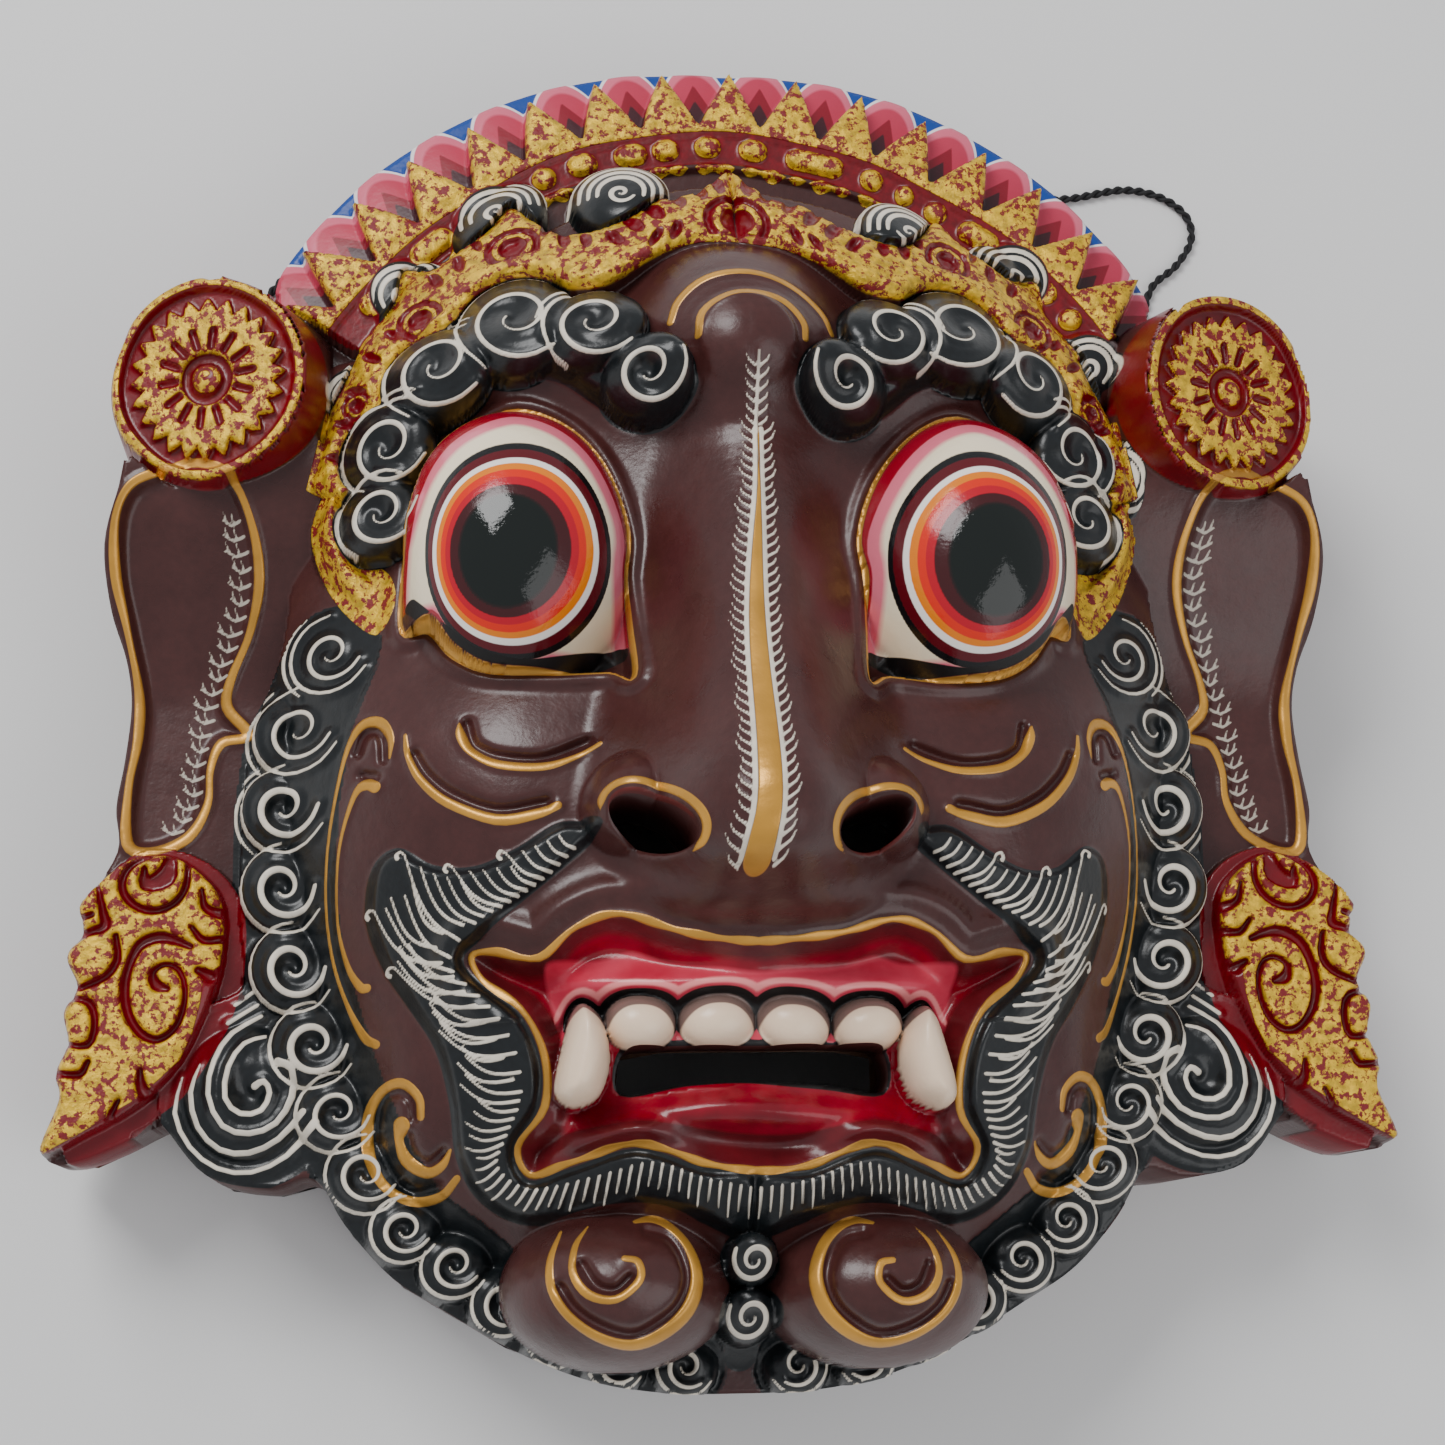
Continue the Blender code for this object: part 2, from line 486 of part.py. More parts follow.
def ear_plug(name, hand):
    """An ear plug turned about its own axis, which leans outwards: rim ring, recess, rosette and button."""
    cx, cy, radius = PLUG
    profile_points = [(0, -PLUG_DEPTH), (radius, -PLUG_DEPTH), (radius, 0), (radius - 2.2, 0),
                      (radius - 2.8, -2.5), (14.6, -2.5), (14.2, 0), (5.6, 0), (5.0, -1.7), (3.4, -1.7),
                      (2.8, 0.5), (0, 0.9)]
    bm = bmesh.new()
    verts = [bm.verts.new((r, 0, z)) for r, z in profile_points]
    edges = [bm.edges.new(pair) for pair in zip(verts, verts[1:])]
    bmesh.ops.spin(bm, geom=verts + edges, axis=(0, 0, 1), cent=(0, 0, 0), angle=2 * math.pi, steps=24,
                   use_merge=True)
    bmesh.ops.remove_doubles(bm, verts=bm.verts[:], dist=0.01)
    lean = Matrix.Rotation(hand * math.radians(PLUG_LEAN), 4, "Y")
    place = Matrix.Translation((hand * cx, cy, PLUG_HEIGHT)) @ lean
    bmesh.ops.transform(bm, matrix=place, verts=bm.verts[:])
    bmesh.ops.scale(bm, vec=(UNIT, UNIT, UNIT), verts=bm.verts[:])
    return cutter(name, bm)


def nostril_outline(hand):
    cx, cy, rx, ry, turn = NOSTRIL
    c, s = math.cos(math.radians(turn)), math.sin(math.radians(turn))
    return [(hand * (cx + rx * math.cos(a) * c - ry * math.sin(a) * s),
             cy + rx * math.cos(a) * s + ry * math.sin(a) * c)
            for a in np.radians(np.arange(0, 360, 36))]


def bore_way(hand):
    """Middle of the bore's outer mouth and its direction outwards, in metres."""
    turn = math.radians(BORE_TURN)
    way = Vector((hand * math.cos(turn), math.sin(turn), 0))
    return Vector((hand * 88.6 * UNIT, 72.0 * UNIT, BORE_HEIGHT)), way


def bore_cutter(name, hand):
    """The round bore that the cord passes through."""
    mouth, way = bore_way(hand)
    length = 2.5 * (RIM_WIDTH + CORD_BORE)
    turn = way.to_track_quat("Z", "Y").to_matrix().to_4x4()
    place = Matrix.Translation(mouth - way * (length / 2 - CORD_BORE)) @ turn
    bm = bmesh.new()
    bmesh.ops.create_cone(bm, cap_ends=True, segments=10, radius1=CORD_BORE / 2, radius2=CORD_BORE / 2,
                          depth=length, matrix=place)
    return cutter(name, bm)


def knot_place(hand):
    """Middle of the knot that stops the cord inside the hollow, just clear of the wall."""
    mouth, way = bore_way(hand)
    inward = mouth.copy()
    while hollow_share(inward.x / UNIT, inward.y / UNIT) > 1 or \
            hollow_height(inward.x / UNIT, inward.y / UNIT) * UNIT < BORE_HEIGHT + KNOT_DIAMETER / 2:
        inward -= way * 0.0002
    return inward - way * (KNOT_DIAMETER / 2 + TOUCH_GAP)


def make_knot(name, hand, material):
    bm = bmesh.new()
    bmesh.ops.create_icosphere(bm, subdivisions=2, radius=KNOT_DIAMETER / 2,
                               matrix=Matrix.Translation(knot_place(hand)))
    knot = link(name, mesh_from(bm, name))
    knot.data.shade_smooth()
    knot.data.materials.append(material)
    return knot


def make_cord(material):
    """The hanging cord: knot to knot, out of both bores and round behind the crown on the table."""
    route = [Vector((px * UNIT, py * UNIT, max(pz * UNIT, CORD_DIAMETER / 2 + 0.0001)))
             for px, py, pz in CORD_ROUTE]
    ends = []
    for hand in (-1, 1):
        mouth, way = bore_way(hand)
        start = knot_place(hand) + way * (KNOT_DIAMETER / 2 + TOUCH_GAP)
        ends.append([start, start.lerp(mouth, 0.5), mouth, mouth + way * 2 * CORD_DIAMETER])
    line = smooth_curve([*ends[0], *route, *ends[1][::-1]], steps=16)
    along = np.concatenate([[0], np.cumsum(np.linalg.norm(np.diff(line, axis=0), axis=1))])
    count = round(along[-1] / (2.9 * CORD_DIAMETER)) + 1
    even = [np.interp(np.linspace(0, along[-1], count), along, line[:, i]) for i in range(3)]
    curve = bpy.data.curves.new("hanging_cord", "CURVE")
    curve.dimensions = "3D"
    curve.bevel_depth = CORD_DIAMETER / 2
    curve.bevel_resolution = 2
    curve.use_fill_caps = True
    spline = curve.splines.new("POLY")
    spline.points.add(count - 1)
    for point, place in zip(spline.points, zip(*even)):
        point.co = (*place, 1)
    curve.materials.append(material)
    return link("hanging_cord", curve)


def combine(target, tool, operation):
    step = target.modifiers.new(tool.name, "BOOLEAN")
    step.operation = operation
    step.solver = "EXACT"
    step.object = tool


def evaluated_mesh(made):
    graph = bpy.context.evaluated_depsgraph_get()
    return bpy.data.meshes.new_from_object(made.evaluated_get(graph))


def finish(name, colour, roughness, metallic=0.0):
    material = bpy.data.materials.new(name)
    material.use_nodes = True
    shader = material.node_tree.nodes["Principled BSDF"]
    shader.inputs["Base Color"].default_value = (*colour, 1)
    shader.inputs["Roughness"].default_value = roughness
    shader.inputs["Metallic"].default_value = metallic
    return material


def applied(made, name):
    """The object with its modifiers applied, in place of the old one."""
    bm = bmesh.new()
    bm.from_mesh(evaluated_mesh(made))
    bmesh.ops.triangulate(bm, faces=bm.faces[:])
    bpy.data.objects.remove(made)
    return link(name, mesh_from(bm, name))


def make_mask():
    """The whole carving as one solid block, hollowed and bored."""
    block = relief_solid("block", whole_outline(), carve, GRID_STEP, 0.0)
    block = applied(block, "carved_block")
    thin = block.modifiers.new("fewer_faces", "DECIMATE")
    thin.ratio = FACE_COUNT / len(block.data.polygons)
    block = applied(block, "thinned_block")
    for v in block.data.vertices:
        v.co.x = min(max(v.co.x, -MASK_WIDTH / 2), MASK_WIDTH / 2)
        if v.co.z < 0.02 * EAR_BACK_GAP:
            v.co.z = 0.0
    combine(block, crown_teeth(), "UNION")
    for hand, side in ((1, "right"), (-1, "left")):
        combine(block, ear_plug("ear_plug_" + side, hand), "UNION")
    combine(block, hollow_cutter(), "DIFFERENCE")
    combine(block, prism_cutter("mouth_cutter", MOUTH_HOLE, CUT_INSIDE, CUT_TOP), "DIFFERENCE")
    back = EAR_BACK_GAP / UNIT
    for hand, side in ((1, "right"), (-1, "left")):
        root = smooth_curve(EAR_ROOT, steps=3) * (hand, 1)
        outside = hand * (PLAN_HALF_WIDTH + PLUG[2])
        line = [*root, (outside, EAR_ROOT[-1][1]), (outside, EAR_ROOT[0][1])]
        combine(block, prism_cutter("ear_cutter_" + side, line, CUT_BOTTOM, back), "DIFFERENCE")
        nostril = nostril_outline(hand)
        combine(block, prism_cutter("nostril_cutter_" + side, nostril, CUT_INSIDE, CUT_TOP), "DIFFERENCE")
        combine(block, bore_cutter("bore_cutter_" + side, hand), "DIFFERENCE")
    mask = applied(block, "mask")
    mask.data.shade_smooth()
    mask.data.set_sharp_from_angle(angle=math.radians(50))
    mask.data.materials.append(finish("painted wood", (0.08, 0.033, 0.03), 0.4))
    return mask


def main():
    for old in list(bpy.data.objects):
        bpy.data.objects.remove(old)
    mask = make_mask()
    thread = finish("black cord", (0.012, 0.012, 0.012), 0.8)
    made = [mask, make_cord(thread), make_knot("knot_left", -1, thread), make_knot("knot_right", 1, thread)]
    for piece in made:
        piece.data.transform(Matrix.Translation((0, -PLAN_CENTRE_Y * UNIT, 0)))


main()
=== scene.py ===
"""A carved and painted demon king mask of one block of wood, lying on its back rim with the face up.

The fine relief and the paint are worked out from the same plan as the solids. Places on the plan are in
carver's units, 272 of which make the mask's width. Paint is laid in layers: each layer has its own
attribute, the depth of a point inside the painted area, which is positive on the paint.
"""

import math

import bmesh
import bpy
import numpy as np
from mathutils import Matrix, Vector


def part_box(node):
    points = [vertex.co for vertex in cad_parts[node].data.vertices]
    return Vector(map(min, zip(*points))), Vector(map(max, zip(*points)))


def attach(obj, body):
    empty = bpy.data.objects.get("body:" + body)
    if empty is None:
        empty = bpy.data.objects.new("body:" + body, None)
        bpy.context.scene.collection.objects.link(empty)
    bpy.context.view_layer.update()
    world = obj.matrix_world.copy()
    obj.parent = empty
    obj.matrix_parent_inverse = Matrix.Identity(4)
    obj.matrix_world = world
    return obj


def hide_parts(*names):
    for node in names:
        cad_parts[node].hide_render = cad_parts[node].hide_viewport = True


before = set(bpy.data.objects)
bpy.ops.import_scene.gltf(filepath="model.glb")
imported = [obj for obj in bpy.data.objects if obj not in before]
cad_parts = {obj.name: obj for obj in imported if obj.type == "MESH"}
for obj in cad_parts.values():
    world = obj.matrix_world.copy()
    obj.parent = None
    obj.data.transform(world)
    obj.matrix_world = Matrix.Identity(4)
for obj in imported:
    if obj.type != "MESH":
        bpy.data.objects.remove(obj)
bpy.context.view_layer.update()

bl_info = {
    "name": "Carved demon king mask",
    "version": (1, 0, 0),
    "blender": (4, 5, 0),
    "location": "View3D > Sidebar > Mask",
    "description": "Builds the finely carved and painted mask, its hanging cord and a plain stage",
    "category": "Object",
}

MASK_LOW, MASK_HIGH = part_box("mask")
PLAN_WIDTH = 272.0
UNIT = (MASK_HIGH[0] - MASK_LOW[0]) / PLAN_WIDTH
PLAN_CENTRE_Y = 9.78

# Lengths in metres, the bore's mouth and the hollow in carver's units, its turn in degrees
WALL = 0.016
RIM_WIDTH = 0.014
EAR_BACK_GAP = 0.011
CORD_DIAMETER = 0.002
STRAND_SHARE = 0.27
BORE_HEIGHT = 0.006
BORE_MOUTH = (88.6, 72.0)
BORE_TURN = 20
KNOT_DIAMETER = 0.0056
TOUCH_GAP = 0.0003
HOLLOW_HALF = (97.0, 134.0)
HOLLOW_POWER = 2.5
HEAD_CENTRE_Y = 5.0

# Outlines in plan, in carver's units. A half outline runs from top centre round to bottom centre.
HEAD_HALF = [(0, 149), (20, 148.5), (40, 144), (58, 135.5), (74, 124), (86, 111), (93, 100), (90, 84),
             (88, 60), (88, 40), (90, 20), (96, 2), (98, -16), (98, -34), (97, -49), (105, -54), (112, -65),
             (112, -77), (104, -86), (92, -88.5), (83, -87), (77, -96), (68, -106), (57, -113), (45, -120),
             (31, -126), (16, -129), (0, -129.5)]
EYE = [(66.5, 17.5), (66.5, 30), (64.5, 43), (58, 54), (46, 60.5), (35, 57), (27, 48), (23, 35), (24, 25),
       (23.5, 15), (22.9, 3.6), (27.5, 5.8), (39, 5.5), (50, 6.5), (57, 11), (61.5, 17)]
MOUTH_HALF = [(0, -47), (13, -45), (25, -41.5), (33, -43.5), (40, -48.5), (48, -46.5), (53, -47), (51, -52),
              (44, -58), (40, -67), (40, -76), (44.5, -83), (42, -88.5), (35, -86.5), (23, -83.5),
              (10, -87.5), (0, -88.5)]
WHISKER_OUTER = [(29, -26), (36, -23.5), (44, -28), (52, -31), (60, -30), (67, -25.5), (72, -28.5), (73, -38),
                 (69.5, -48), (64.5, -56), (59.5, -64), (57, -74), (56, -84), (52, -92), (44, -97),
                 (33, -97), (22, -95), (11, -97.5), (0, -100.5)]
WHISKER_INNER = [(0, -89), (10, -88), (23, -84), (35, -87), (42, -89), (44.5, -83.5), (40.5, -76),
                 (40.5, -67), (44.5, -58), (54, -49), (51, -44.5), (44, -39), (36, -33)]
MOUTH_HOLE = [(24.5, -66), (17, -65), (0, -65.2), (-17, -65), (-24.5, -66), (-25, -73.5), (-13, -72.5),
              (0, -72), (13, -72.5), (25, -73.5)]
BROW = [(9.5, 64), (13, 56.5), (20, 54.5), (28, 60), (36, 65.5), (46, 67), (55, 64), (61.5, 56), (66, 45),
        (68, 33), (76, 37), (80, 50), (79, 62), (69, 77), (57, 84), (44, 91), (32, 85), (20, 73)]
DIADEM_TOP = [(0, 117), (4, 113), (9, 109), (15, 108), (22, 103), (30, 100.5), (36, 101), (41, 106),
              (45.5, 111.5), (50, 106), (56, 102), (61, 99), (67, 99.5), (69, 92), (75, 84), (78, 76),
              (83, 66), (86.5, 51)]
DIADEM_FOOT = [(0, 96), (9, 95), (17, 91.5), (26, 86.5), (35, 86.5), (43, 89), (52, 86), (60, 80), (68, 71),
               (74, 60), (77, 46)]
TEMPLE = [(82, 51), (85, 43), (83, 34), (78, 24.5), (71.5, 18), (68, 24), (69.5, 31), (75, 36), (77, 42),
          (78, 48)]
EAR = [(86, 58), (100, 59), (111, 58), (120, 54.5), (125.5, 47), (126.5, 38), (125, 28), (122.5, 19),
       (121.5, 10), (122.5, 0), (124, -10), (124, -20), (119, -29), (100, -36), (86, -40)]
EAR_LINE = [(117, 53.5), (109.5, 56), (101.5, 53), (97, 44), (95.5, 34), (97.5, 24), (101, 15), (101.6, 9),
            (97.2, 3.6), (102.6, 1.6), (105, -4), (105.8, -11), (110, -18), (117, -21.5), (121.6, -19.5),
            (121.6, -8), (119.9, 2), (119.7, 12), (122.1, 24), (124.3, 34), (124.3, 44), (121.8, 50.5)]
LEAF = [(112.5, -21), (104, -24.5), (98.5, -33), (98, -46), (100.5, -58), (107, -69), (114, -75), (122, -81),
        (131, -84), (133.5, -70), (133.5, -62), (132.5, -52), (132.5, -42), (129.5, -31.5), (121, -23)]
EAR_EDGE = [(123.5, 51), (126.5, 40), (125.5, 28), (122.5, 18), (121.5, 9), (122.5, -2), (124, -12),
            (123.5, -21)]
LEAF_EDGE = [(129.5, -32), (129, -38), (132, -43), (129.8, -49), (132.3, -54), (131.3, -60), (133.5, -66),
             (132.7, -71), (136, -81.5)]
LEAF_FOOT = [(130.5, -83), (122, -80), (114, -76)]
LEAF_FACE = [(121, -24.5), (113, -23), (106.5, -26.5), (102.5, -33), (102.5, -45), (105.5, -56), (111, -66),
             (118.5, -73), (127, -77.5), *LEAF_EDGE[::-1]]
EAR_ROOT = [(100, 104), (92, 90), (88.5, 80), (87.5, 60), (87.5, 40), (90, 20), (95.5, 2), (97.5, -16),
            (97.5, -34), (97, -48), (104.5, -54), (111, -64), (111, -72), (113, -80), (118, -88)]

# Locks of hair: centre, radius, and the turn of the outer end of the painted spiral
BROW_LOCKS = [(19, 63.5, 8.5, 150), (29, 75, 10, 215), (44, 78, 12.5, 225), (59.5, 70, 11, 215),
              (69.5, 56, 10, 200), (71, 42, 9, 190)]
SIDE_LOCKS = [(80.5, 16, 8.6, 200), (87, 1.5, 9.2, 200), (89.5, -14, 9.2, 185), (90, -30, 9.2, 180),
              (88, -45.5, 9, 180), (83.5, -60.5, 8.8, 185), (78.5, -74, 8.2, 190), (73, -86, 7.8, 200),
              (65.5, -96.5, 7.6, 205), (56, -104, 7.6, 210), (46.5, -111.5, 7.4, 215), (36, -118, 7, 220),
              (24.5, -123, 6.6, 225), (11, -124, 6.8, 230)]
CROWN_LOCKS = [(30, 107.5, 10.3, -10), (55.5, 106, 10.8, -25), (72.5, 88, 10, -40), (79.5, 64, 9.5, -70)]
LOCK_RISE = 8.0
CHIN_LOCK_RISE = 5.0
SIDE_LOCK_FOOT = 42.0
CROWN_LOCK_TURN = 5.5
CROWN_LOCK_RISE = 8.5
FANG = [(34.3, -59.6), (31.8, -57.4), (28.3, -60.2), (27.0, -66), (27.6, -70.5), (30.0, -75), (34.6, -76.8),
        (37.6, -75.2), (38.0, -71.8), (36.4, -65.6)]
# Where whisker hairs start at the lips and where the longest of them end
HAIR_FEET = [(33, -28.5), (38, -33.5), (45, -38), (51.5, -41.5), (56, -46), (56.5, -50), (52, -54.5),
             (48, -59.5), (45, -66), (44, -74), (46.5, -81), (48, -86.5), (42, -90.8), (31, -89), (20, -87),
             (10, -90), (0, -91.5)]
HAIR_TIPS = [(37.5, -24.5), (44.5, -28.5), (54, -31), (61.5, -29.5), (67, -27.5), (71, -34), (70, -43),
             (64.5, -52.5), (60, -60), (56, -69), (55, -80), (53, -89), (45, -95), (32, -95), (21, -93),
             (10.5, -95.5), (0, -98.5)]
# The hook that ends some hairs: steps onward and aside, with half widths
HAIR_HOOK = [(0, 0, 0.32), (1.2, 0.3, 0.36), (1.0, 1.3, 0.42), (0.2, 1.5, 0.5)]
CHIN_LOCKS = [(0, -104.5, 5, 150), (0, -115, 5.5, 150)]
LARGE_LOCK = (95.5, -70, 17.5)
CHIN_BULB = (25, -109.5, 22.5, 15.5)
CHIN_BULB_HEIGHT = (54, 26)
# Upper front teeth: middle and half width of each, then middle and half height of their row
TEETH = ((7.3, 7.2), (21.3, 6.5))
TEETH_ROW = (-61.2, 5.2)
GUM_HALF = [(0, -52), (7, -51), (15, -50), (22.5, -47.5), (28, -49), (34, -49), (39, -50), (38.4, -56),
            (36.6, -63), (33, -66), (0, -66)]
EAR_TICK_LINE = [(99.6, 45), (97.4, 36), (98.8, 26), (101.8, 16), (104.2, 7), (106, -2), (107.4, -10),
                 (111, -16.5)]

CORD_ROUTE = [(-100, 84, 3.5), (-102.5, 98, 1), (-98, 110, 1), (-86, 123, 1), (-70, 135.5, 1), (-48, 147, 1),
              (-24, 153, 1), (0, 154.5, 1), (24, 154, 1), (44, 150.5, 1), (62, 143.5, 1), (74, 138.5, 1),
              (86, 138.5, 1), (99, 141, 1), (108, 139.5, 1), (114, 135, 1), (115, 129, 1), (111, 122.5, 1),
              (105, 117, 1), (102.5, 108, 1), (102.5, 97, 1), (100, 84, 3.5)]

CROWN_CENTRE = (0.0, 35.0)
CROWN_TURN = 1.2
CROWN_SPAN = 58
TOOTH_PITCH = 7.5
TOOTH_RING = (98.7, 112.5)
# A crown petal's colours on the screen, each outside a value of a measure, with its soft edge
PETAL_HEART_TONE = (62, 14, 26)
PETAL_TONES = [('petal_heart', 0.6, 0.64, (136, 8, 36)), ('petal_heart', 0.92, 0.96, (190, 52, 80)),
               ('petal', 0.8, 0.84, (222, 104, 128)), ('petal', 0.955, 0.97, (244, 240, 240)),
               ('petal', 1.01, 1.025, (10, 66, 150))]
BAND_RING = (88.0, 98.7)
OUTER_LINE_RADIUS = 97.6
PELLET_RADIUS = 93.1
PLUG = (106.5, 73.0, 21.5)
PLUG_HEIGHT = 55.5
PLUG_LEAN = 22
PLUG_SLOTS = 14.0
PLUG_POINT_PITCH = 15.0
PLUG_BUTTON_LINE = [(0.4, -0.4), (-1.1, 0.2), (-0.5, 1.6), (1.4, 1.5), (2.2, -0.4)]
EYEBALL = (44.5, 30.5, 23.8, 31.0)
EYEBALL_HEIGHT = (66, 31)
NOSTRIL = (20.5, -26.5, 8.6, 4.3, 29.0)
NOSE_WING = (22.5, -21.5, 10.5, 10.5)
NOSE_WING_HEIGHT = (84, 19)
# Soft hills of the bare face and of the hollow's ceiling: rise, middle and two spreads
FACE_MOUNDS = [(8, 54, -10, 19, 19), (-9, 45, 30, 24, 26), (7, 44, 70, 27, 8), (13, 0, -70, 42, 26),
               (7, 65, -80, 9, 13)]
HOLLOW_MOUNDS = [(10, 0, -66, 32, 20), (13, 0, -14, 13, 22)]
NOSE_RISE = [(-47, 0), (-43.5, 3), (-40, 13), (-36, 24), (-32, 31), (-26, 34), (-18, 33.5), (0, 25), (28, 14),
             (50, 7), (58, 8), (66, 12), (75, 14.5), (84, 14), (92, 10), (99, 3), (106, 0)]
NOSE_HALF_WIDTH = [(-47, 12), (-43.5, 15), (-40, 18), (-36, 21), (-32, 24), (-26, 27), (-18, 28), (0, 25),
                   (28, 19), (50, 15), (58, 15), (66, 18), (75, 20.5), (84, 21), (92, 20), (99, 18),
                   (106, 16)]

# Painted rings of an eye from the pupil out: outer side, inner side, top and bottom
EYE_RINGS = [(56.1, 37.3, 37.3, 15.3), (57.7, 34.9, 39.1, 13.8), (58.5, 33.5, 40.7, 12.6),
             (59.4, 32.1, 42.4, 11.3), (60.2, 30.7, 43.8, 10.3), (60.9, 29.7, 45.0, 9.2),
             (61.8, 28.0, 47.1, 7.8), (62.3, 27.2, 48.6, 6.8), (63.3, 25.6, 52.2, 5.2),
             (65.0, 23.8, 55.2, 2.5), (67.0, 22.3, 58.6, 0.0)]
# Their colours on the screen, from the pupil out
EYE_TONES = [(12, 20, 17), (64, 16, 20), (190, 6, 36), (226, 40, 12), (236, 128, 8), (252, 246, 238),
             (92, 6, 20), (12, 14, 16), (254, 238, 206)]
EYE_SLIT = [(65.0, 20.0), (60.0, 14.4), (54.0, 8.8), (47.2, 6.0), (42.0, 5.6), (35.6, 6.8), (28.4, 9.0),
            (25.0, 10.2)]

# Gold lines: points with the half width of the line at each
CHEEK_LINES = [
    [(55.5, -3.5, 0.3), (55, -6, 1.0), (53, -9.5, 0.9), (48, -12.5, 0.95), (40, -13, 0.9), (34, -11.3, 0.6),
     (29, -9, 0.5)],
    [(65.5, -4, 0.4), (65, -8, 0.7), (62.5, -13.5, 0.9), (57, -19, 1.0), (48, -22.8, 1.15), (41, -22, 1.1),
     (37, -20.5, 0.9)],
    [(68.6, -8, 0.3), (68.4, -4, 0.8), (70.5, -0.6, 1.1), (74.5, -1, 0.9), (77.8, -7, 0.5),
     (80.3, -20, 0.35), (81, -33, 0.35), (79.8, -44, 0.4), (77, -53, 0.5), (73.5, -60, 0.9), (71, -62, 0.9)],
    [(71.6, -13.2, 1.2), (73.2, -12.4, 1.2), (75.8, -14.5, 0.6), (78.4, -24, 0.35), (78.6, -37, 0.35),
     (76.6, -46, 0.6), (74, -50.5, 0.9), (72.6, -51, 0.9)],
    [(62.5, -76, 0.8), (62.8, -72.5, 0.9), (66, -69.7, 1.0), (70, -70.8, 1.0), (72.6, -75, 1.2),
     (72.6, -82, 1.2), (69.8, -88, 1.0), (64.5, -91.2, 1.0), (59, -90.8, 1.0), (55.8, -87.8, 0.8)],
    [(66.3, -77.4, 1.7), (66.8, -80, 0.9), (65.4, -83.6, 1.3), (61.5, -86.2, 1.1), (58.5, -85, 0.9),
     (57, -82.4, 0.4)],
    [(23, -97.6, 0.4), (19.5, -97.2, 0.8), (16, -98.8, 0.9), (12.8, -102.5, 1.0), (11.4, -108, 1.3),
     (13.2, -113.8, 1.4), (17.7, -118, 1.2), (23.2, -119.8, 1.0), (29.5, -118.2, 0.9), (35, -114.2, 0.9),
     (38.2, -109.2, 0.9), (38.4, -104, 0.7), (36.2, -98.6, 0.3)],
    [(31.4, -97.9, 0.2), (33.8, -101.5, 0.6), (34.3, -106.5, 0.8), (31.4, -110.6, 0.9), (26.4, -111.8, 0.8),
     (22.4, -108.6, 0.8), (22.7, -105.2, 0.7), (25.2, -104.4, 0.6)],
]
CHEEK_GROOVES = [
    [(54, -3.5), (53, -7.2), (51.5, -9), (47.5, -10.8), (40, -11.2), (31, -8)],
    [(63.6, -8), (61, -12.6), (56, -17.3), (48, -20.8), (39, -19.6)],
    [(69.8, -8), (70, -4), (71.2, -2.2), (73.5, -2.6), (75, -6)],
    [(71.5, -11), (74, -10.4)],
    [(63.8, -76), (64.4, -73), (66.4, -71.4), (69.5, -72.3), (70.8, -76), (70.8, -82), (68.3, -86.8),
     (64, -89.3), (59.5, -88.8)],
    [(65.2, -79.4), (64.2, -82.6), (61.3, -84.3), (58.2, -82.5)],
    [(21, -99.4), (17, -100.6), (14.6, -103.6), (13.4, -108.2), (15, -112.8), (18.7, -116), (23.2, -117.8),
     (29, -116.2), (33.8, -112.9), (36.6, -108.8)],
    [(32.6, -105), (30, -109), (26.6, -110), (24, -108)],
]
FOREHEAD_LINES = [
    [(-14.5, 74.5, 0.7), (-12.5, 79.5, 0.8), (-7, 84, 0.8), (1, 85.4, 0.8), (9, 83, 0.8), (15, 78.5, 0.8),
     (17, 74, 0.6)],
    [(-9.5, 70.5, 0.7), (-8.4, 75.5, 0.8), (-3.5, 79, 0.8), (1.5, 79.8, 0.8), (7, 78.5, 0.8),
     (10.8, 74.5, 0.8), (11.2, 71, 0.7)],
]
NOSE_STRIPE = [(2, 53, 0.2), (1.2, 40, 0.35), (0.4, 28, 0.9), (-0.8, 6, 1.75), (-1.1, -15, 2.0),
               (-1.2, -26, 2.1), (-2, -32, 2.3), (-2.5, -35.5, 2.4)]
LOCK_LINES = [
    [(93, -58.8, 0.5), (96.8, -60.4, 0.6), (99.6, -65.2, 0.7), (100.1, -71.2, 0.7), (97, -74, 0.7),
     (92.9, -73.2, 0.7), (91.4, -69.8, 0.7), (92.6, -67.6, 0.7), (94.4, -68.6, 0.9)],
    [(94.1, -54.7, 0.5), (99.4, -58.3, 0.7), (102.6, -64, 0.7), (103.6, -70.6, 0.7), (100.6, -76.5, 0.7),
     (95.2, -77.7, 0.7), (90, -75.6, 0.7), (87.2, -70.5, 0.8), (87.4, -65.2, 0.8), (90.2, -63.8, 1.0)],
    [(105.4, -64.6, 0.3), (107.3, -70.2, 0.7), (105.7, -76.8, 0.7), (101.3, -80.9, 0.7), (95.4, -81.3, 0.7),
     (89.5, -78.6, 0.7), (85, -73.6, 0.9)],
    [(109.2, -67, 0.3), (110.4, -74, 0.6), (107.2, -80.6, 0.6), (101.8, -84.4, 0.6), (95, -84.9, 0.6),
     (88, -81.8, 0.7), (82.6, -76, 1.1)],
    [(95.6, -49.8, 0.5), (99.2, -52.6, 0.6)],
    [(95, -52.6, 0.5), (100.4, -56.3, 0.6)],
]
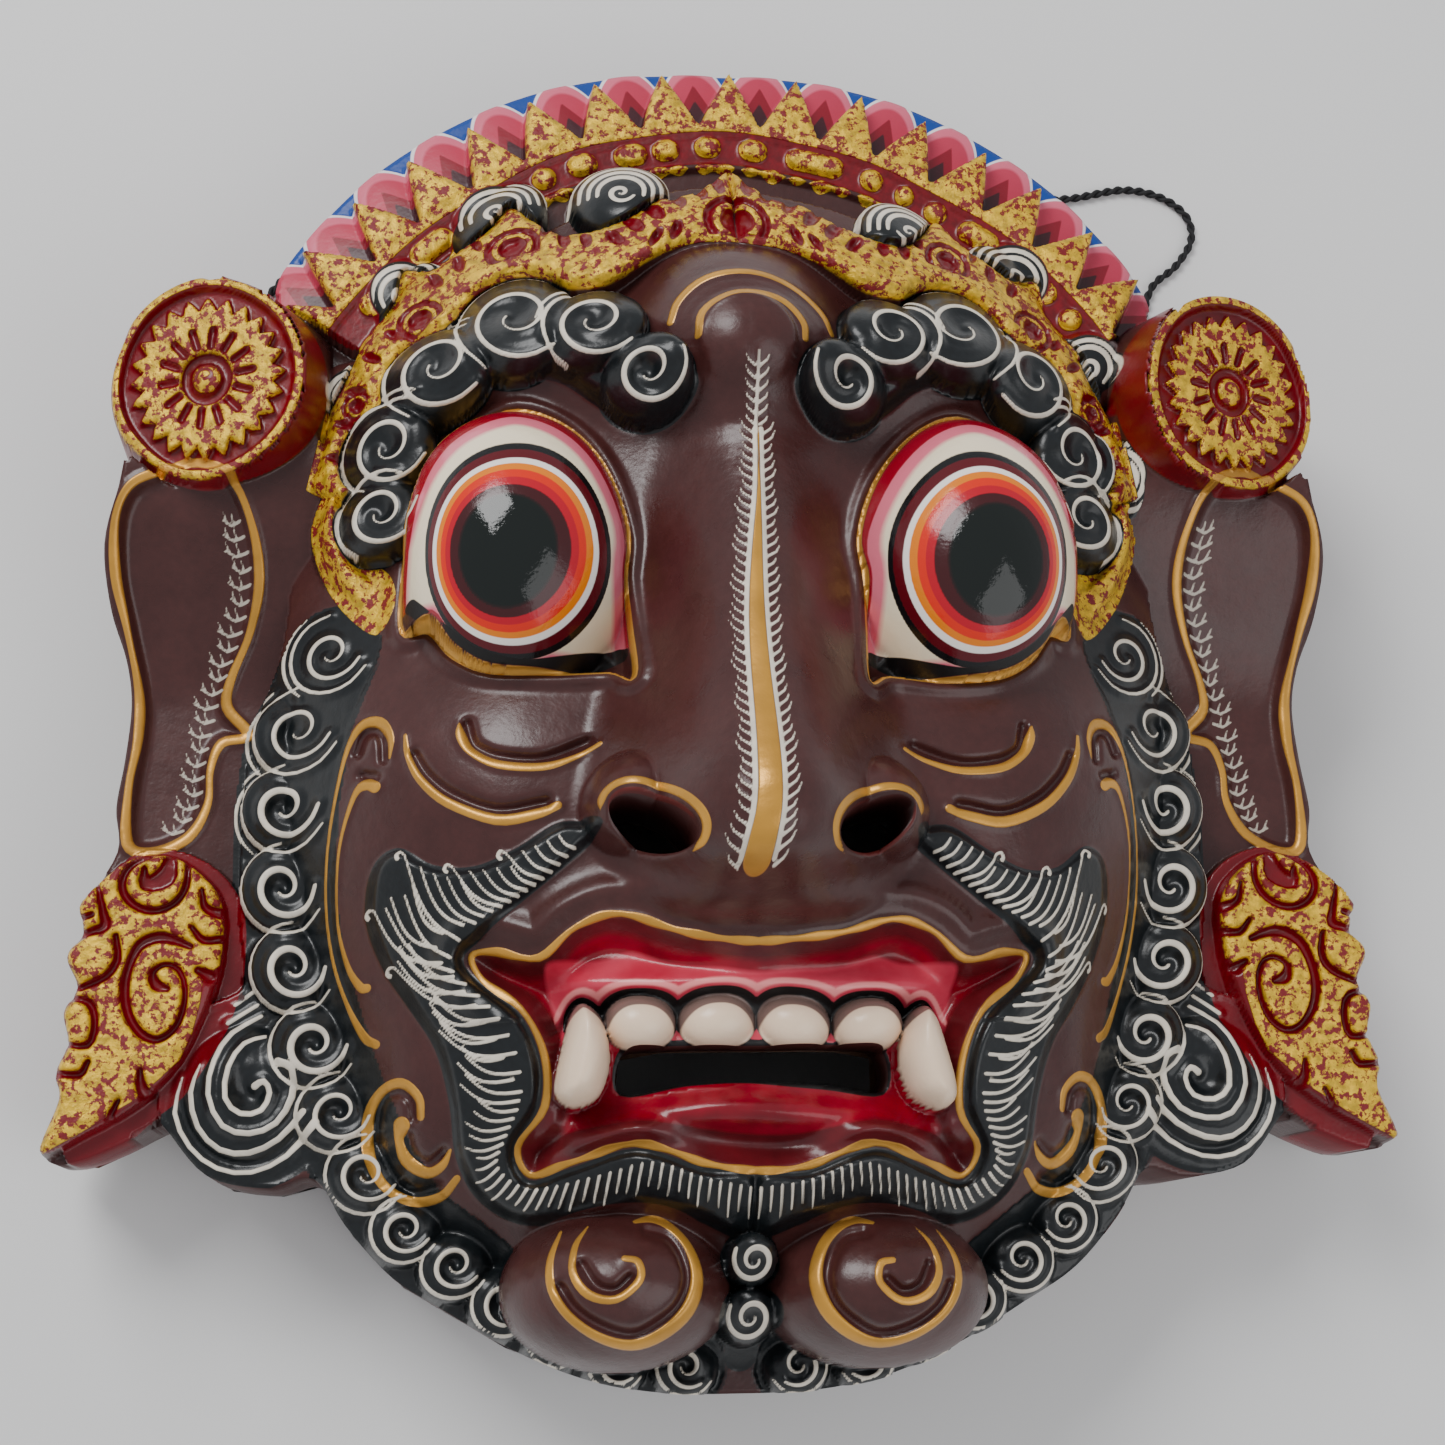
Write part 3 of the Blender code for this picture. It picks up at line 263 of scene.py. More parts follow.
# Red grooves in the gold of a leaf pendant
LEAF_GROOVES = [
    [(114.5, -22.6, 0.5), (119, -24.7, 0.8), (121.3, -27.4, 0.9), (121.4, -30.6, 0.9), (119.4, -33.2, 0.9),
     (115.8, -34.2, 0.9), (111.8, -32.6, 0.8), (109.5, -29, 0.8), (109.3, -24.4, 0.6)],
    [(117.4, -26, 0.6), (117, -29, 1.6), (113.5, -27.4, 2.4), (112.6, -24.4, 1.6)],
    [(126.3, -29.1, 0.4), (125.2, -34, 0.9), (124.8, -37.2, 1.2), (128, -38.4, 0.9), (131.5, -40.4, 0.6)],
    [(122.7, -39.2, 0.6), (122.3, -43.7, 0.8), (124.3, -47.1, 0.9), (129, -49.3, 0.8)],
    [(132, -36.2, 0.5), (127.4, -34.8, 0.8)],
    [(108.2, -41, 0.7), (111.4, -39.7, 1.1), (114.4, -39.3, 1.3), (118, -41, 1.2), (120.1, -45, 1.0),
     (120.9, -49.8, 1.0), (120.1, -54.6, 1.0), (117.6, -58.3, 1.0), (114.2, -59.5, 0.9), (110.9, -57.4, 0.8),
     (109.2, -53.5, 0.7), (109, -49, 0.6), (110.4, -45.6, 0.6), (113, -44.6, 0.6), (115.4, -46.2, 0.7),
     (114.8, -48.6, 1.4), (112.6, -49.4, 0.8)],
    [(106.5, -29.4, 0.4), (105.8, -33, 0.9), (103, -34.4, 1.3), (100, -34.4, 1.4)],
    [(108.1, -37.1, 0.5), (105.7, -39.8, 0.9), (101, -39.4, 1.0)],
    [(132, -51, 0.6), (127.4, -52.2, 0.9), (126.1, -56.2, 0.8), (127.4, -60.6, 0.8), (133, -60, 0.5)],
    [(133, -66, 0.7), (128.8, -66.3, 0.9), (127.2, -63.8, 0.6)],
    [(117.3, -65.6, 0.5), (116.8, -69, 1.2), (114.6, -71.6, 1.6)],
    [(121, -71.5, 0.5), (122.6, -75, 0.9), (121.6, -78, 1.0)],
    [(104.2, -47.2, 1.4), (106.6, -45.8, 0.8)],
]
# The side of a leaf that isn't gilded lies inward of this line
LEAF_GILT_EDGE = [(110, -21), (104.3, -27.3), (101.8, -31.6), (101.4, -38.3), (102.4, -45), (105.4, -47.6),
                  (105.7, -52.3), (107.1, -58.3), (109.6, -63.7), (113.6, -67.6), (118, -71.6),
                  (124.4, -75.4), (129, -78.2), (136.4, -82.2), (140, -70), (140, -20)]
# Raised pellets of the crown's band: place round the crown in degrees and half length
PELLETS = [(-52, 2.6), (-47, 2.2), (-41, 5.2), (-34.5, 2.4), (-29.5, 2.8), (-24, 2.6), (-18.6, 3.1),
           (-12.2, 3.5), (-7.4, 2.9), (-1.6, 2.8), (4.4, 2.9), (12.6, 6.3), (20.6, 2.5), (25.4, 2.0),
           (30, 2.4), (36.5, 4.6), (43, 2.3), (47.6, 2.6), (52.6, 2.4)]
# Red beans along the top of the diadem: centre, half sizes and turn
BEANS = [(3.1, 111, 1.3, 2.8, -6), (7.2, 109.3, 1.4, 2.9, -18), (12, 107, 1.5, 3.0, -30),
         (16.4, 103.6, 1.6, 3.0, -34), (20.6, 100.4, 1.5, 2.8, -38), (24.6, 97.2, 1.3, 2.6, -40),
         (12.2, 98, 1.1, 2.6, 18), (16.2, 96.4, 1.0, 2.6, 28), (30.5, 97.6, 1.2, 2.2, -8),
         (35, 98.4, 1.2, 2.6, -4), (38.6, 102, 0.9, 2.4, 14), (52, 101.6, 0.9, 2.4, -20),
         (55.4, 97.4, 1.2, 2.6, -10), (60.2, 94.6, 1.2, 2.4, -30), (69, 83, 1.1, 2.2, -46),
         (73, 78.4, 1.1, 2.4, -50), (76, 71, 1.1, 2.4, -66), (78.6, 64, 1.0, 2.2, -74),
         (80.4, 57, 1.0, 2.2, -80)]
BROOCHES = [(0, 101, 7.0, 0), (45, 98, 5.4, -12), (63.5, 85, 4.8, -38), (76, 67.5, 3.2, -60)]

# Depths in the paint attributes are cut off at this value, measures at the other two
CLIP = 3.0
MEASURES = ("eye_ring", "petal", "petal_heart", "plug_out")
MEASURE_RANGE = (-1, 12)
# How far from a brush stroke and from an outline a depth is worked out
STROKE_REACH = 3.5
OUTLINE_REACH = 14.0

# Where the surface is cut into pieces: at the brows, under the nose, and at the ears' top and root
CUT_HEIGHTS = (62, -22)
EAR_TOP = 98
EAR_START = 82
PIECES = ['carved_crown', 'carved_face', 'carved_jaw', 'ear_left', 'ear_right']

# Sizes of the cloudy and the fine changes of the paint, in metres
CLOUD_SIZE = 0.012
GRAIN_SIZE = 0.0016

# The camera's aim in carver's units, its lean from the upright in degrees, and its turn
CAMERA_AIM = (-2.5, 2, 55)
CAMERA_LEAN = (6, 12)
CAMERA_ROLL = -1
FLOOR_HALF = 3.0


def smoothstep(low, high, value):
    """0 below low, 1 above high, with a soft step between them."""
    s = np.clip((value - low) / (high - low), 0.0, 1.0)
    return s * s * (3.0 - 2.0 * s)


def smooth_curve(points, closed=False, steps=5):
    """A Catmull-Rom curve through the points, as an array of points."""
    knots = [np.array(p, float) for p in points]
    if closed:
        ring = [knots[-1], *knots, knots[0], knots[1]]
    else:
        ring = [2 * knots[0] - knots[1], *knots, 2 * knots[-1] - knots[-2]]
    found = []
    for a, b, c, d in zip(ring, ring[1:], ring[2:], ring[3:]):
        for t in np.arange(steps) / steps:
            found.append(0.5 * (2 * b + (c - a) * t + (2 * a - 5 * b + 4 * c - d) * t * t
                                + (3 * b - a - 3 * c + d) * t ** 3))
    if not closed:
        found.append(knots[-1])
    return np.array(found)


def profile(value, stations):
    """The smooth curve through (place, height) stations, read at each value."""
    line = smooth_curve(stations)
    return np.interp(value, line[:, 0], line[:, 1])


def mirrored(half):
    """A half outline closed by its mirror image."""
    return list(half) + [(-px, py) for px, py in half[::-1] if abs(px) > 1e-6]


def near_line(x, y, line, margin):
    """Numbers of the points within a margin of the line's box."""
    low, high = line[:, :2].min(0) - margin, line[:, :2].max(0) + margin
    return np.flatnonzero((x > low[0]) & (x < high[0]) & (y > low[1]) & (y < high[1]))


def line_distance(x, y, line, closed):
    """Distance of each point to a run of straight pieces."""
    ends = np.roll(line, -1, axis=0) if closed else line[1:]
    best = np.full(x.shape, np.inf)
    for a, b in zip(line, ends):
        run = b - a
        t = np.clip(((x - a[0]) * run[0] + (y - a[1]) * run[1]) / max(run @ run, 1e-12), 0, 1)
        best = np.minimum(best, np.hypot(x - a[0] - t * run[0], y - a[1] - t * run[1]))
    return best


def away_from(x, y, line, reach=8.0, closed=False):
    """Distance to a line, worked out only near it."""
    found = np.full(x.shape, reach)
    near = near_line(x, y, line, reach)
    found[near] = np.minimum(line_distance(x[near], y[near], line, closed), reach)
    return found


def depth_inside(x, y, line):
    """Signed distance to a closed line, positive inside, worked out only near it."""
    found = np.full(x.shape, -OUTLINE_REACH)
    near = near_line(x, y, line, OUTLINE_REACH)
    px, py = x[near], y[near]
    inside = np.zeros(px.shape, bool)
    for a, b in zip(line, np.roll(line, -1, axis=0)):
        if a[1] != b[1]:
            crossing = (b[0] - a[0]) * (py - a[1]) / (b[1] - a[1]) + a[0]
            inside ^= ((a[1] > py) != (b[1] > py)) & (px < crossing)
    distance = line_distance(px, py, line, closed=True)
    found[near] = np.where(inside, distance, -distance)
    return found


def depth_in(x, y, points):
    """Signed distance to the closed smooth curve through the points, positive inside."""
    return depth_inside(x, y, smooth_curve(points, closed=True))


def turn_by(degrees):
    """Cosine and sine of a turn."""
    return math.cos(math.radians(degrees)), math.sin(math.radians(degrees))


def along_line(line):
    """Distance along a line at each of its points."""
    return np.concatenate([[0], np.cumsum(np.linalg.norm(np.diff(line, axis=0), axis=1))])


def draw(field, x, y, stroke, steps=4, curve=True):
    """Raise a paint field to a brush stroke given by points with half widths."""
    line = smooth_curve(stroke, steps=steps) if curve and len(stroke) > 2 else np.array(stroke, float)
    near = near_line(x, y, line, STROKE_REACH)
    px, py = x[near], y[near]
    best = np.full(px.shape, -CLIP)
    for a, b in zip(line, line[1:]):
        run = b[:2] - a[:2]
        t = np.clip(((px - a[0]) * run[0] + (py - a[1]) * run[1]) / max(run @ run, 1e-12), 0, 1)
        away = np.hypot(px - a[0] - t * run[0], py - a[1] - t * run[1])
        best = np.maximum(best, a[2] + (b[2] - a[2]) * t - away)
    field[near] = np.maximum(field[near], best)


def mound(x, y, cx, cy, sx, sy):
    """A soft round hill of height 1."""
    return np.exp(-0.5 * (((x - cx) / sx) ** 2 + ((y - cy) / sy) ** 2))


def with_mounds(z, x, y, mounds):
    """Heights with mounds added, each given by its rise, its middle and its two spreads."""
    for rise, *place in mounds:
        z = z + rise * mound(x, y, *place)
    return z


def ball(shape, foot, rise):
    """Height of a ball over an ellipse, from its foot up, and 0 outside it."""
    return np.where(shape < 1, foot + rise * np.sqrt(np.clip(1 - shape, 0, 1)), 0)


def turned(x, y, cx, cy, turn):
    """Coordinates from a centre, along and across a direction turned by some degrees."""
    c, s = turn_by(turn)
    return (x - cx) * c + (y - cy) * s, -(x - cx) * s + (y - cy) * c


def ellipse(x, y, cx, cy, rx, ry, turn=0.0):
    """Squared distance from an ellipse's centre, 1 on its rim."""
    u, v = turned(x, y, cx, cy, turn)
    return (u / rx) ** 2 + (v / ry) ** 2


def ellipse_depth(x, y, cx, cy, rx, ry, turn=0.0):
    """About the signed distance inside an ellipse."""
    out = np.sqrt(ellipse(x, y, cx, cy, rx, ry, turn))
    return (1.0 - out) * min(rx, ry)


def head_dome(x, y):
    """Height of the plain dome under everything else."""
    r = np.sqrt((x / 95.0) ** 2 + ((y - HEAD_CENTRE_Y) / 130.0) ** 2)
    return 40.0 + 44.0 * (1.0 - np.minimum(r, 1.0) ** 3)


def face_form(side, y):
    """The bare face: dome, cheeks, brow, muzzle, jowls and nose."""
    z = with_mounds(head_dome(side, y), side, y, FACE_MOUNDS)
    across = np.clip(side / (1.25 * profile(y, NOSE_HALF_WIDTH)), 0, 1)
    z = z + profile(y, NOSE_RISE) * (1 - across ** 2) ** 2
    return np.maximum(z, ball(ellipse(side, y, *NOSE_WING), *NOSE_WING_HEIGHT))


def spiral(lock, turns=1.25, width=0.75, inner=0.16, outer=0.8):
    """The painted spiral of a lock: from its outer end round the far side and in to its eye."""
    cx, cy, radius, end = lock
    found = []
    count = int(14 * turns) + 4
    for i in range(count + 1):
        s = i / count
        angle = math.radians(end + 360 * turns * s)
        r = radius * (outer + (inner - outer) * s ** 0.85)
        swell = width * (0.65 + 0.6 * math.sin(math.pi * min(1.0, s * 1.1 + 0.08)))
        found.append((cx + r * math.cos(angle), cy + r * math.sin(angle), swell))
    return found


def arc(lock, share, low, high, width=0.6):
    """A painted arc round a lock at a share of its radius."""
    cx, cy, radius, end = lock
    angles, swells = np.radians(np.linspace(low, high, 9)), np.linspace(0.3, math.pi - 0.3, 9)
    return [(cx + share * radius * math.cos(a), cy + share * radius * math.sin(a),
             width * (0.5 + 0.5 * math.sin(s))) for a, s in zip(angles, swells)]


def lock_strokes():
    """White strokes on the brows, the side locks and the large lock, on one side of the face."""
    found = []
    for lock in BROW_LOCKS:
        found.append(spiral(lock, turns=1.45, width=0.46, outer=0.84))
        if lock[2] >= 9:
            found.append(arc(lock, 0.98, -60, 120, width=0.5))
        if lock[2] >= 10:
            found.append(arc(lock, 1.13, 10, 120, width=0.45))
    for i, lock in enumerate(SIDE_LOCKS):
        small = i > 7
        found.append(spiral(lock, turns=1.35, width=0.6 if 1 < i < 6 else 0.44, inner=0.14,
                            outer=0.64 if small else 0.74))
        found.append(arc(lock, 0.84 if small else 0.97, -150, 90 if i < 9 else 30, width=0.45))
        if i < 3:
            found.append(arc(lock, 1.15, -50, 60, width=0.45))
    for stroke in LOCK_LINES:
        found.append([(px, py, half * 0.85) for px, py, half in stroke])
    return found


def crown_lock_place(x, y):
    """Where a point is among the locks behind the diadem, which sit turned about the crown's centre."""
    cx, cy = CROWN_CENTRE
    c, s = turn_by(CROWN_LOCK_TURN)
    return np.abs((x - cx) * c - (y - cy) * s), cy + (x - cx) * s + (y - cy) * c


def crown_lock_strokes():
    """White strokes on the locks that show behind the diadem."""
    found = []
    for cx, cy, radius, lean in CROWN_LOCKS:
        found.append(spiral((cx, cy - 1, 3.2, 200), turns=1.3, width=0.5, outer=0.9, inner=0.1))
        for share in (0.46, 0.64, 0.82, 1.0):
            found.append(arc((cx, cy - 1, radius, 0), share, lean, lean + 200, width=0.7))
    return found


def whisker_hairs():
    """White hairs from the lips out over the whisker band, on one side of the face.

    Those on the cheek come in groups of five that grow longer, and the fifth ends in a small hook. Those in
    the middle are crowded, and those under the lip are short and thin.
    """
    feet, tips = smooth_curve(HAIR_FEET, steps=10), smooth_curve(HAIR_TIPS, steps=10)
    spread = np.linalg.norm(np.diff(feet, axis=0), axis=1) + np.linalg.norm(np.diff(tips, axis=0), axis=1)
    along = np.concatenate([[0], np.cumsum(spread / 2)])
    count = int(along[-1] / 2.0)
    found = []
    for i in range(count):
        here = (i + 0.5) / count * along[-1]
        foot, far = (np.array([np.interp(here, along, line[:, k]) for k in (0, 1)]) for line in (feet, tips))
        share = here / along[-1]
        run = far - foot
        length = np.linalg.norm(run)
        ahead = run / length
        beard = share > 0.72
        group = i % 5
        crowded = smoothstep(0.16, 0.24, share) * smoothstep(0.52, 0.44, share)
        foot = foot + run * 0.2 * crowded * (i % 2)
        run = far - foot
        if share < 0.42:
            reach = 0.62 + 0.08 * group + (0.06 if group == 4 else 0)
        elif not beard:
            reach = (0.92, 0.7, 0.8, 0.62, 0.86)[(i * 3) % 5]
        else:
            reach = (0.8, 0.95, 0.7)[i % 3]
        tip = foot + run * reach
        sag = np.array([0.35, -1.0]) * (0.14 * length * reach) * (0.25 if beard else 1.0)
        width = 0.34 if beard else 0.38
        found.append([(*(foot + (tip - foot) * t + sag * math.sin(math.pi * t)), width * (1.1 - 0.35 * t))
                      for t in (0, 0.25, 0.5, 0.75, 1.0)])
        if share < 0.42 and group == 4:
            back = np.array([ahead[1], -ahead[0]])
            if back[0] < 0:
                back = -back
            found.append([(*(tip + ahead * on + back * off), half) for on, off, half in HAIR_HOOK])
    return found


def nose_ticks():
    """White ticks up both sides of the nose stripe."""
    line = smooth_curve(NOSE_STRIPE, steps=12)
    found = []
    for hand in (-1, 1):
        found.append([(px + hand * (half + 0.45), py, 0.5) for px, py, half in line[::3]])
        for i, py in enumerate(np.arange(-36.5, 66, 2.1)):
            px, half, reach = 1.8, 0.0, 2.0
            if py < NOSE_STRIPE[0][1]:
                px, half = (np.interp(-py, -line[:, 1], line[:, k]) for k in (0, 2))
                reach = 2.5 + 0.9 * ((i * 3) % 4) / 3.0
            foot = px + hand * (half + 0.6)
            found.append([(foot, py, 0.36), (foot + hand * reach * 0.62, py + reach * 0.5, 0.3),
                          (foot + hand * reach * 0.85, py + reach, 0.2)])
    found.append([(1.5, 52, 0.4), (1.9, 60, 0.4), (2.0, 67, 0.3)])
    return found


def ear_ticks():
    """Small branched white ticks along the inner side of the gold line round an ear."""
    line = smooth_curve(EAR_TICK_LINE, steps=6)
    along = along_line(line)
    found = []
    for i, share in enumerate(np.linspace(0, 1, 22)):
        px, py = (np.interp(share * along[-1], along, line[:, j]) for j in (0, 1))
        reach = 3.6 + 1.4 * ((i * 7) % 5) / 4.0
        found.append([(px, py, 0.42), (px + 0.5 * reach, py - 0.8, 0.36), (px + reach, py + 0.3, 0.28)])
        found.append([(px + 0.35 * reach, py - 0.6, 0.34), (px + 0.5 * reach, py + 1.5, 0.24)])
        found.append([(px + 0.75 * reach, py - 0.3, 0.34), (px + 0.95 * reach, py + 1.8, 0.24)])
    return found


def nostril_outline(hand, grow=0.0, count=10):
    """Points round the edge of a nostril."""
    cx, cy, rx, ry, turn = NOSTRIL
    c, s = turn_by(turn)
    return np.array([(hand * (cx + (rx + grow) * math.cos(a) * c - (ry + grow) * math.sin(a) * s),
                      cy + (rx + grow) * math.cos(a) * s + (ry + grow) * math.sin(a) * c)
                     for a in np.radians(np.arange(0, 360, 360 / count))])


def eye_ring_place(side, y):
    """Place among the painted rings of the eye: 0 at the pupil's edge, 1 at the next ring's, and so on."""
    outs = []
    for outer, inner, top, bottom in EYE_RINGS:
        outs.append(np.sqrt(ellipse(side, y, (outer + inner) / 2, (top + bottom) / 2,
                                    (outer - inner) / 2, (top - bottom) / 2)))
    place = np.minimum(outs[0] - 1.0, 0.0)
    for k in range(len(outs) - 1):
        here = (outs[k] >= 1) & (outs[k + 1] < 1)
        share = (outs[k] - 1) / np.maximum(outs[k] - outs[k + 1], 1e-6)
        place = np.where(here, k + share, place)
    last = len(outs) - 1
    return np.where(outs[last] >= 1, last + np.minimum((outs[last] - 1) * 12, 1.0), place)


def tooth_depth(side, y):
    """Depth inside the four front teeth and the fangs."""
    found = np.full(side.shape, -CLIP)
    row, tall = TEETH_ROW
    for centre, half in TEETH:
        out = (np.abs((side - centre) / half) ** 2.4 + np.abs((y - row) / tall) ** 2.4) ** (1 / 2.4)
        found = np.maximum(found, (1 - out) * tall)
    return np.maximum(found, depth_in(side, y, FANG))


def paint_fields(x, side, y):
    """The depth of each point inside each painted area, by name."""
    blank = np.full(x.shape, -CLIP)
    fields = {}

    in_mouth = depth_in(x, y, mirrored(MOUTH_HALF))

    hair = depth_in(side, y, WHISKER_OUTER + WHISKER_INNER)
    hair = np.maximum(hair, depth_in(side, y, BROW))
    for lock in BROW_LOCKS + CHIN_LOCKS:
        hair = np.maximum(hair, lock[2] + 0.9 - np.hypot(side - lock[0], y - lock[1]))
    centres = np.array([lock[:2] for lock in SIDE_LOCKS], float)
    radii = np.interp(y, centres[::-1, 1], [lock[2] for lock in SIDE_LOCKS[::-1]])
    hair = np.maximum(hair, radii + 1.3 - away_from(side, y, centres, reach=14))
    lx, ly, radius = LARGE_LOCK
    hair = np.maximum(hair, radius + 1.0 - np.hypot(side - lx, y - ly))
    hair = np.maximum(hair, 3.4 - away_from(side, y, np.array([(0, -100.0), (0, -122.0)])))
    chin_locks = np.maximum(*(radius - np.hypot(side, y - cy) for cx, cy, radius, turn in CHIN_LOCKS))
    hair = np.minimum(hair, np.maximum(-ellipse_depth(side, y, *CHIN_BULB), chin_locks + 0.9))
    fields["hair"] = hair

    chalk = blank.copy()
    for stroke in lock_strokes():
        draw(chalk, side, y, stroke, steps=2)
    chalk = np.minimum(chalk, hair - 0.1)
    for lock in CHIN_LOCKS:
        draw(chalk, x, y, spiral(lock, turns=1.6, width=0.5, outer=0.85), steps=2)
    hairs = blank.copy()
    for stroke in whisker_hairs():
        draw(hairs, side, y, stroke, steps=2)
    for stroke in nose_ticks():
        draw(hairs, x, y, stroke, steps=1)
    fields["hairs"] = hairs
    grey = blank.copy()
    for stroke in ear_ticks():
        draw(grey, side, y, stroke, curve=False)
    fields["grey"] = grey

    gilt = blank.copy()
    for stroke in CHEEK_LINES:
        draw(gilt, side, y, stroke)
    for stroke in FOREHEAD_LINES + [NOSE_STRIPE]:
        draw(gilt, x, y, stroke)
    eye = depth_in(side, y, EYE)
    gilt = np.maximum(gilt, 0.5 - np.abs(eye + 0.1))
    gilt = np.maximum(gilt, 0.75 + 0.15 * np.sin(side * 0.7) - np.abs(in_mouth - 0.3))
    ear_line = depth_in(side, y, EAR_LINE)
    gilt = np.maximum(gilt, 1.0 + 0.2 * np.sin(y * 0.23) - np.abs(ear_line))
    nostril = depth_in(side, y, nostril_outline(1, 0.6, 16))
    above = turned(side, y, *NOSTRIL[:2], NOSTRIL[4])[1]
    gilt = np.maximum(gilt, 0.95 * smoothstep(-3.2, -0.4, above) - 0.15 - np.abs(nostril + 0.9))
    fields["gilt"] = gilt

    fields["eye"] = np.minimum(eye - 0.4, 0.5 + above_slit(side, y))
    fields["eye_ring"] = eye_ring_place(side, y)
    top = np.clip((y - 30) / 28, 0, 1)
    outward = np.clip((side - 48) / 18, 0, 1) * (1 - top)
    fields["eye_red"] = 0.9 + 3.4 * top + 0.3 * outward - eye
    fields["eye_pink"] = 3.5 + 4.6 * top - 1.6 * outward - eye
    # Painted shade: the groove under each eye is laid near black for the dark of a see-through slit
    slit = away_from(side, y, smooth_curve(EYE_SLIT))
    fields["slit"] = np.minimum(eye - 0.3, 1.1 + 0.5 * smoothstep(66, 54, side) - slit)

    # Painted shade: inside the gold line the mouth is laid darker red over a band of this width, for the
    # shade at its sunken edge, widest under the lower lip
    lip_width = 2.7 + 1.5 * smoothstep(-50, -58, y) + 4.0 * smoothstep(-79, -84, y) * smoothstep(46, 30, side)
    fields["lip_shade"] = in_mouth
    fields["crimson"] = in_mouth - lip_width
    fields["gum"] = np.minimum(depth_in(x, y, mirrored(GUM_HALF)), in_mouth - 1.5)
    tooth = tooth_depth(side, y)
    upper_teeth = smoothstep(-61.5, -59.5, y)
    fields["gum_line"] = 0.72 * upper_teeth - np.abs(tooth + 2.2) + np.minimum(0, fields["gum"])
    # Painted shade: the grooves round the upper teeth and a rim round the mouth's opening are laid near
    # black, for the dark inside the mouth
    gap = np.minimum(tooth + 1.25 * smoothstep(-64, -58, y), in_mouth)
    fields["gap"] = np.maximum(gap, depth_in(x, y, MOUTH_HOLE) + 0.7)
    # Painted shade: the teeth are laid grey-brown and the ivory over them stops short of their tops, which
    # stay grey-brown where the gum shades them
    fields["tooth_edge_shade"] = tooth
    fields["tooth"] = (tooth - 2.0 * smoothstep(-63.5, -57.5, y) * smoothstep(37, 27, side)
                       - 0.5 * smoothstep(27, 34, side) * smoothstep(-62, -58, y))
    fields["nostril"] = depth_in(side, y, nostril_outline(1, 0.2, 16))

    crown_x, crown_y = x - CROWN_CENTRE[0], y - CROWN_CENTRE[1]
    r = np.hypot(crown_x, crown_y)
    angle = np.degrees(np.arctan2(crown_x, crown_y))
    on_crown = np.minimum(CROWN_SPAN - np.abs(angle), r - 87.2)
    phase = ((angle - CROWN_TURN) / TOOTH_PITCH + 0.5) % 1.0 - 0.5
    arc_mm = np.radians(TOOTH_PITCH) * r
    low, high = TOOTH_RING
    half = 0.49 * arc_mm * np.clip((high - r) / (high - low), 0, 1)
    crown_tooth = np.minimum((half - np.abs(phase) * arc_mm) * 0.9, np.minimum(r - low + 0.6, high - r))
    between = (0.5 - np.abs(phase)) * arc_mm
    rise = r - low
    petal = np.sqrt((between / 8.7) ** 2 + (rise / 18.8) ** 2)
    heart = between / 6.4 + np.maximum(rise, 0) / 13.5
    fields["petal"] = np.where(r > low - 1, petal, 0)
    fields["petal_heart"] = np.where(r > low - 1, heart, 0)
    fields["crown"] = np.where(r > 80, np.minimum(on_crown, CLIP), -CLIP)
    fields["crown_red"] = np.where(np.abs(angle) < CROWN_SPAN, np.minimum(r - 89.2, low + 0.8 - r), -CLIP)

    leaf = np.minimum(crown_tooth, on_crown)
    leaf = np.maximum(leaf, np.minimum(1.05 - np.abs(r - OUTER_LINE_RADIUS), on_crown))
    broken = 0.45 * np.sin(angle * 1.9) + 0.35 * np.sin(angle * 0.83 + 2)
    leaf = np.maximum(leaf, np.minimum(0.75 + broken - np.abs(r - 88.4), on_crown + 1))
    for place, length in PELLETS:
        along = np.maximum(np.abs(np.radians(angle - place) * 93.2) - length + 2.3, 0)
        leaf = np.maximum(leaf, np.minimum(2.5 - np.hypot(along, r - PELLET_RADIUS), on_crown))

    behind = blank.copy()
    ring_top = np.where(r > 98, 49.5, np.where(r > 87.4, 48.6, 0))
    lock_side, lock_y = crown_lock_place(x, y)
    for cx, cy, radius, lean in CROWN_LOCKS:
        away = np.hypot(lock_side - cx, lock_y - cy)
        dome = np.sqrt(np.clip(1 - (away / radius) ** 2, 0, 1))
        lock_top = head_dome(side, y) + 2.5 + CROWN_LOCK_RISE * dome
        behind = np.maximum(behind, np.minimum(radius + 0.4 - away, (lock_top - ring_top) * 0.8))
    strokes = blank.copy()
    for stroke in crown_lock_strokes():
        draw(strokes, lock_side, lock_y, stroke, steps=2)
    fields["crown_hair"] = behind

    band = np.concatenate([smooth_curve(DIADEM_TOP), smooth_curve(DIADEM_FOOT)[::-1]])
    diadem = depth_inside(side, y, band)
    temple = depth_in(side, y, TEMPLE)
    for cx, cy, radius, turn in BROW_LOCKS:
        past_lock = np.hypot(side - cx, y - cy) - radius - 0.5
        diadem, temple = np.minimum(diadem, past_lock), np.minimum(temple, past_lock)
    chalk = np.minimum(chalk, -np.maximum(diadem, temple))
    fields["chalk"] = np.maximum(chalk, np.minimum(np.minimum(strokes, behind - 0.2), -diadem))
    leaf = np.minimum(leaf, np.maximum(-behind, -1))
    beans = blank.copy()
    for cx, cy, rx, ry, turn in BEANS:
        beans = np.maximum(beans, ellipse_depth(side, y, cx, cy, rx, ry, turn))
    for cx, cy, radius, turn in BROOCHES:
        u, v = turned(side, y, cx, cy, turn)
        out = np.hypot(u, v)
        recess = np.minimum(radius - out, v + 0.55 * radius)
        rib = np.minimum(0.11 * radius - np.abs(out - 0.62 * radius), v + 0.5 * radius)
        beans = np.maximum(beans, np.minimum(recess, -rib))
    fields["diadem"] = diadem
    leaf = np.maximum(leaf, np.minimum(diadem, -beans))
    leaf = np.maximum(leaf, temple)

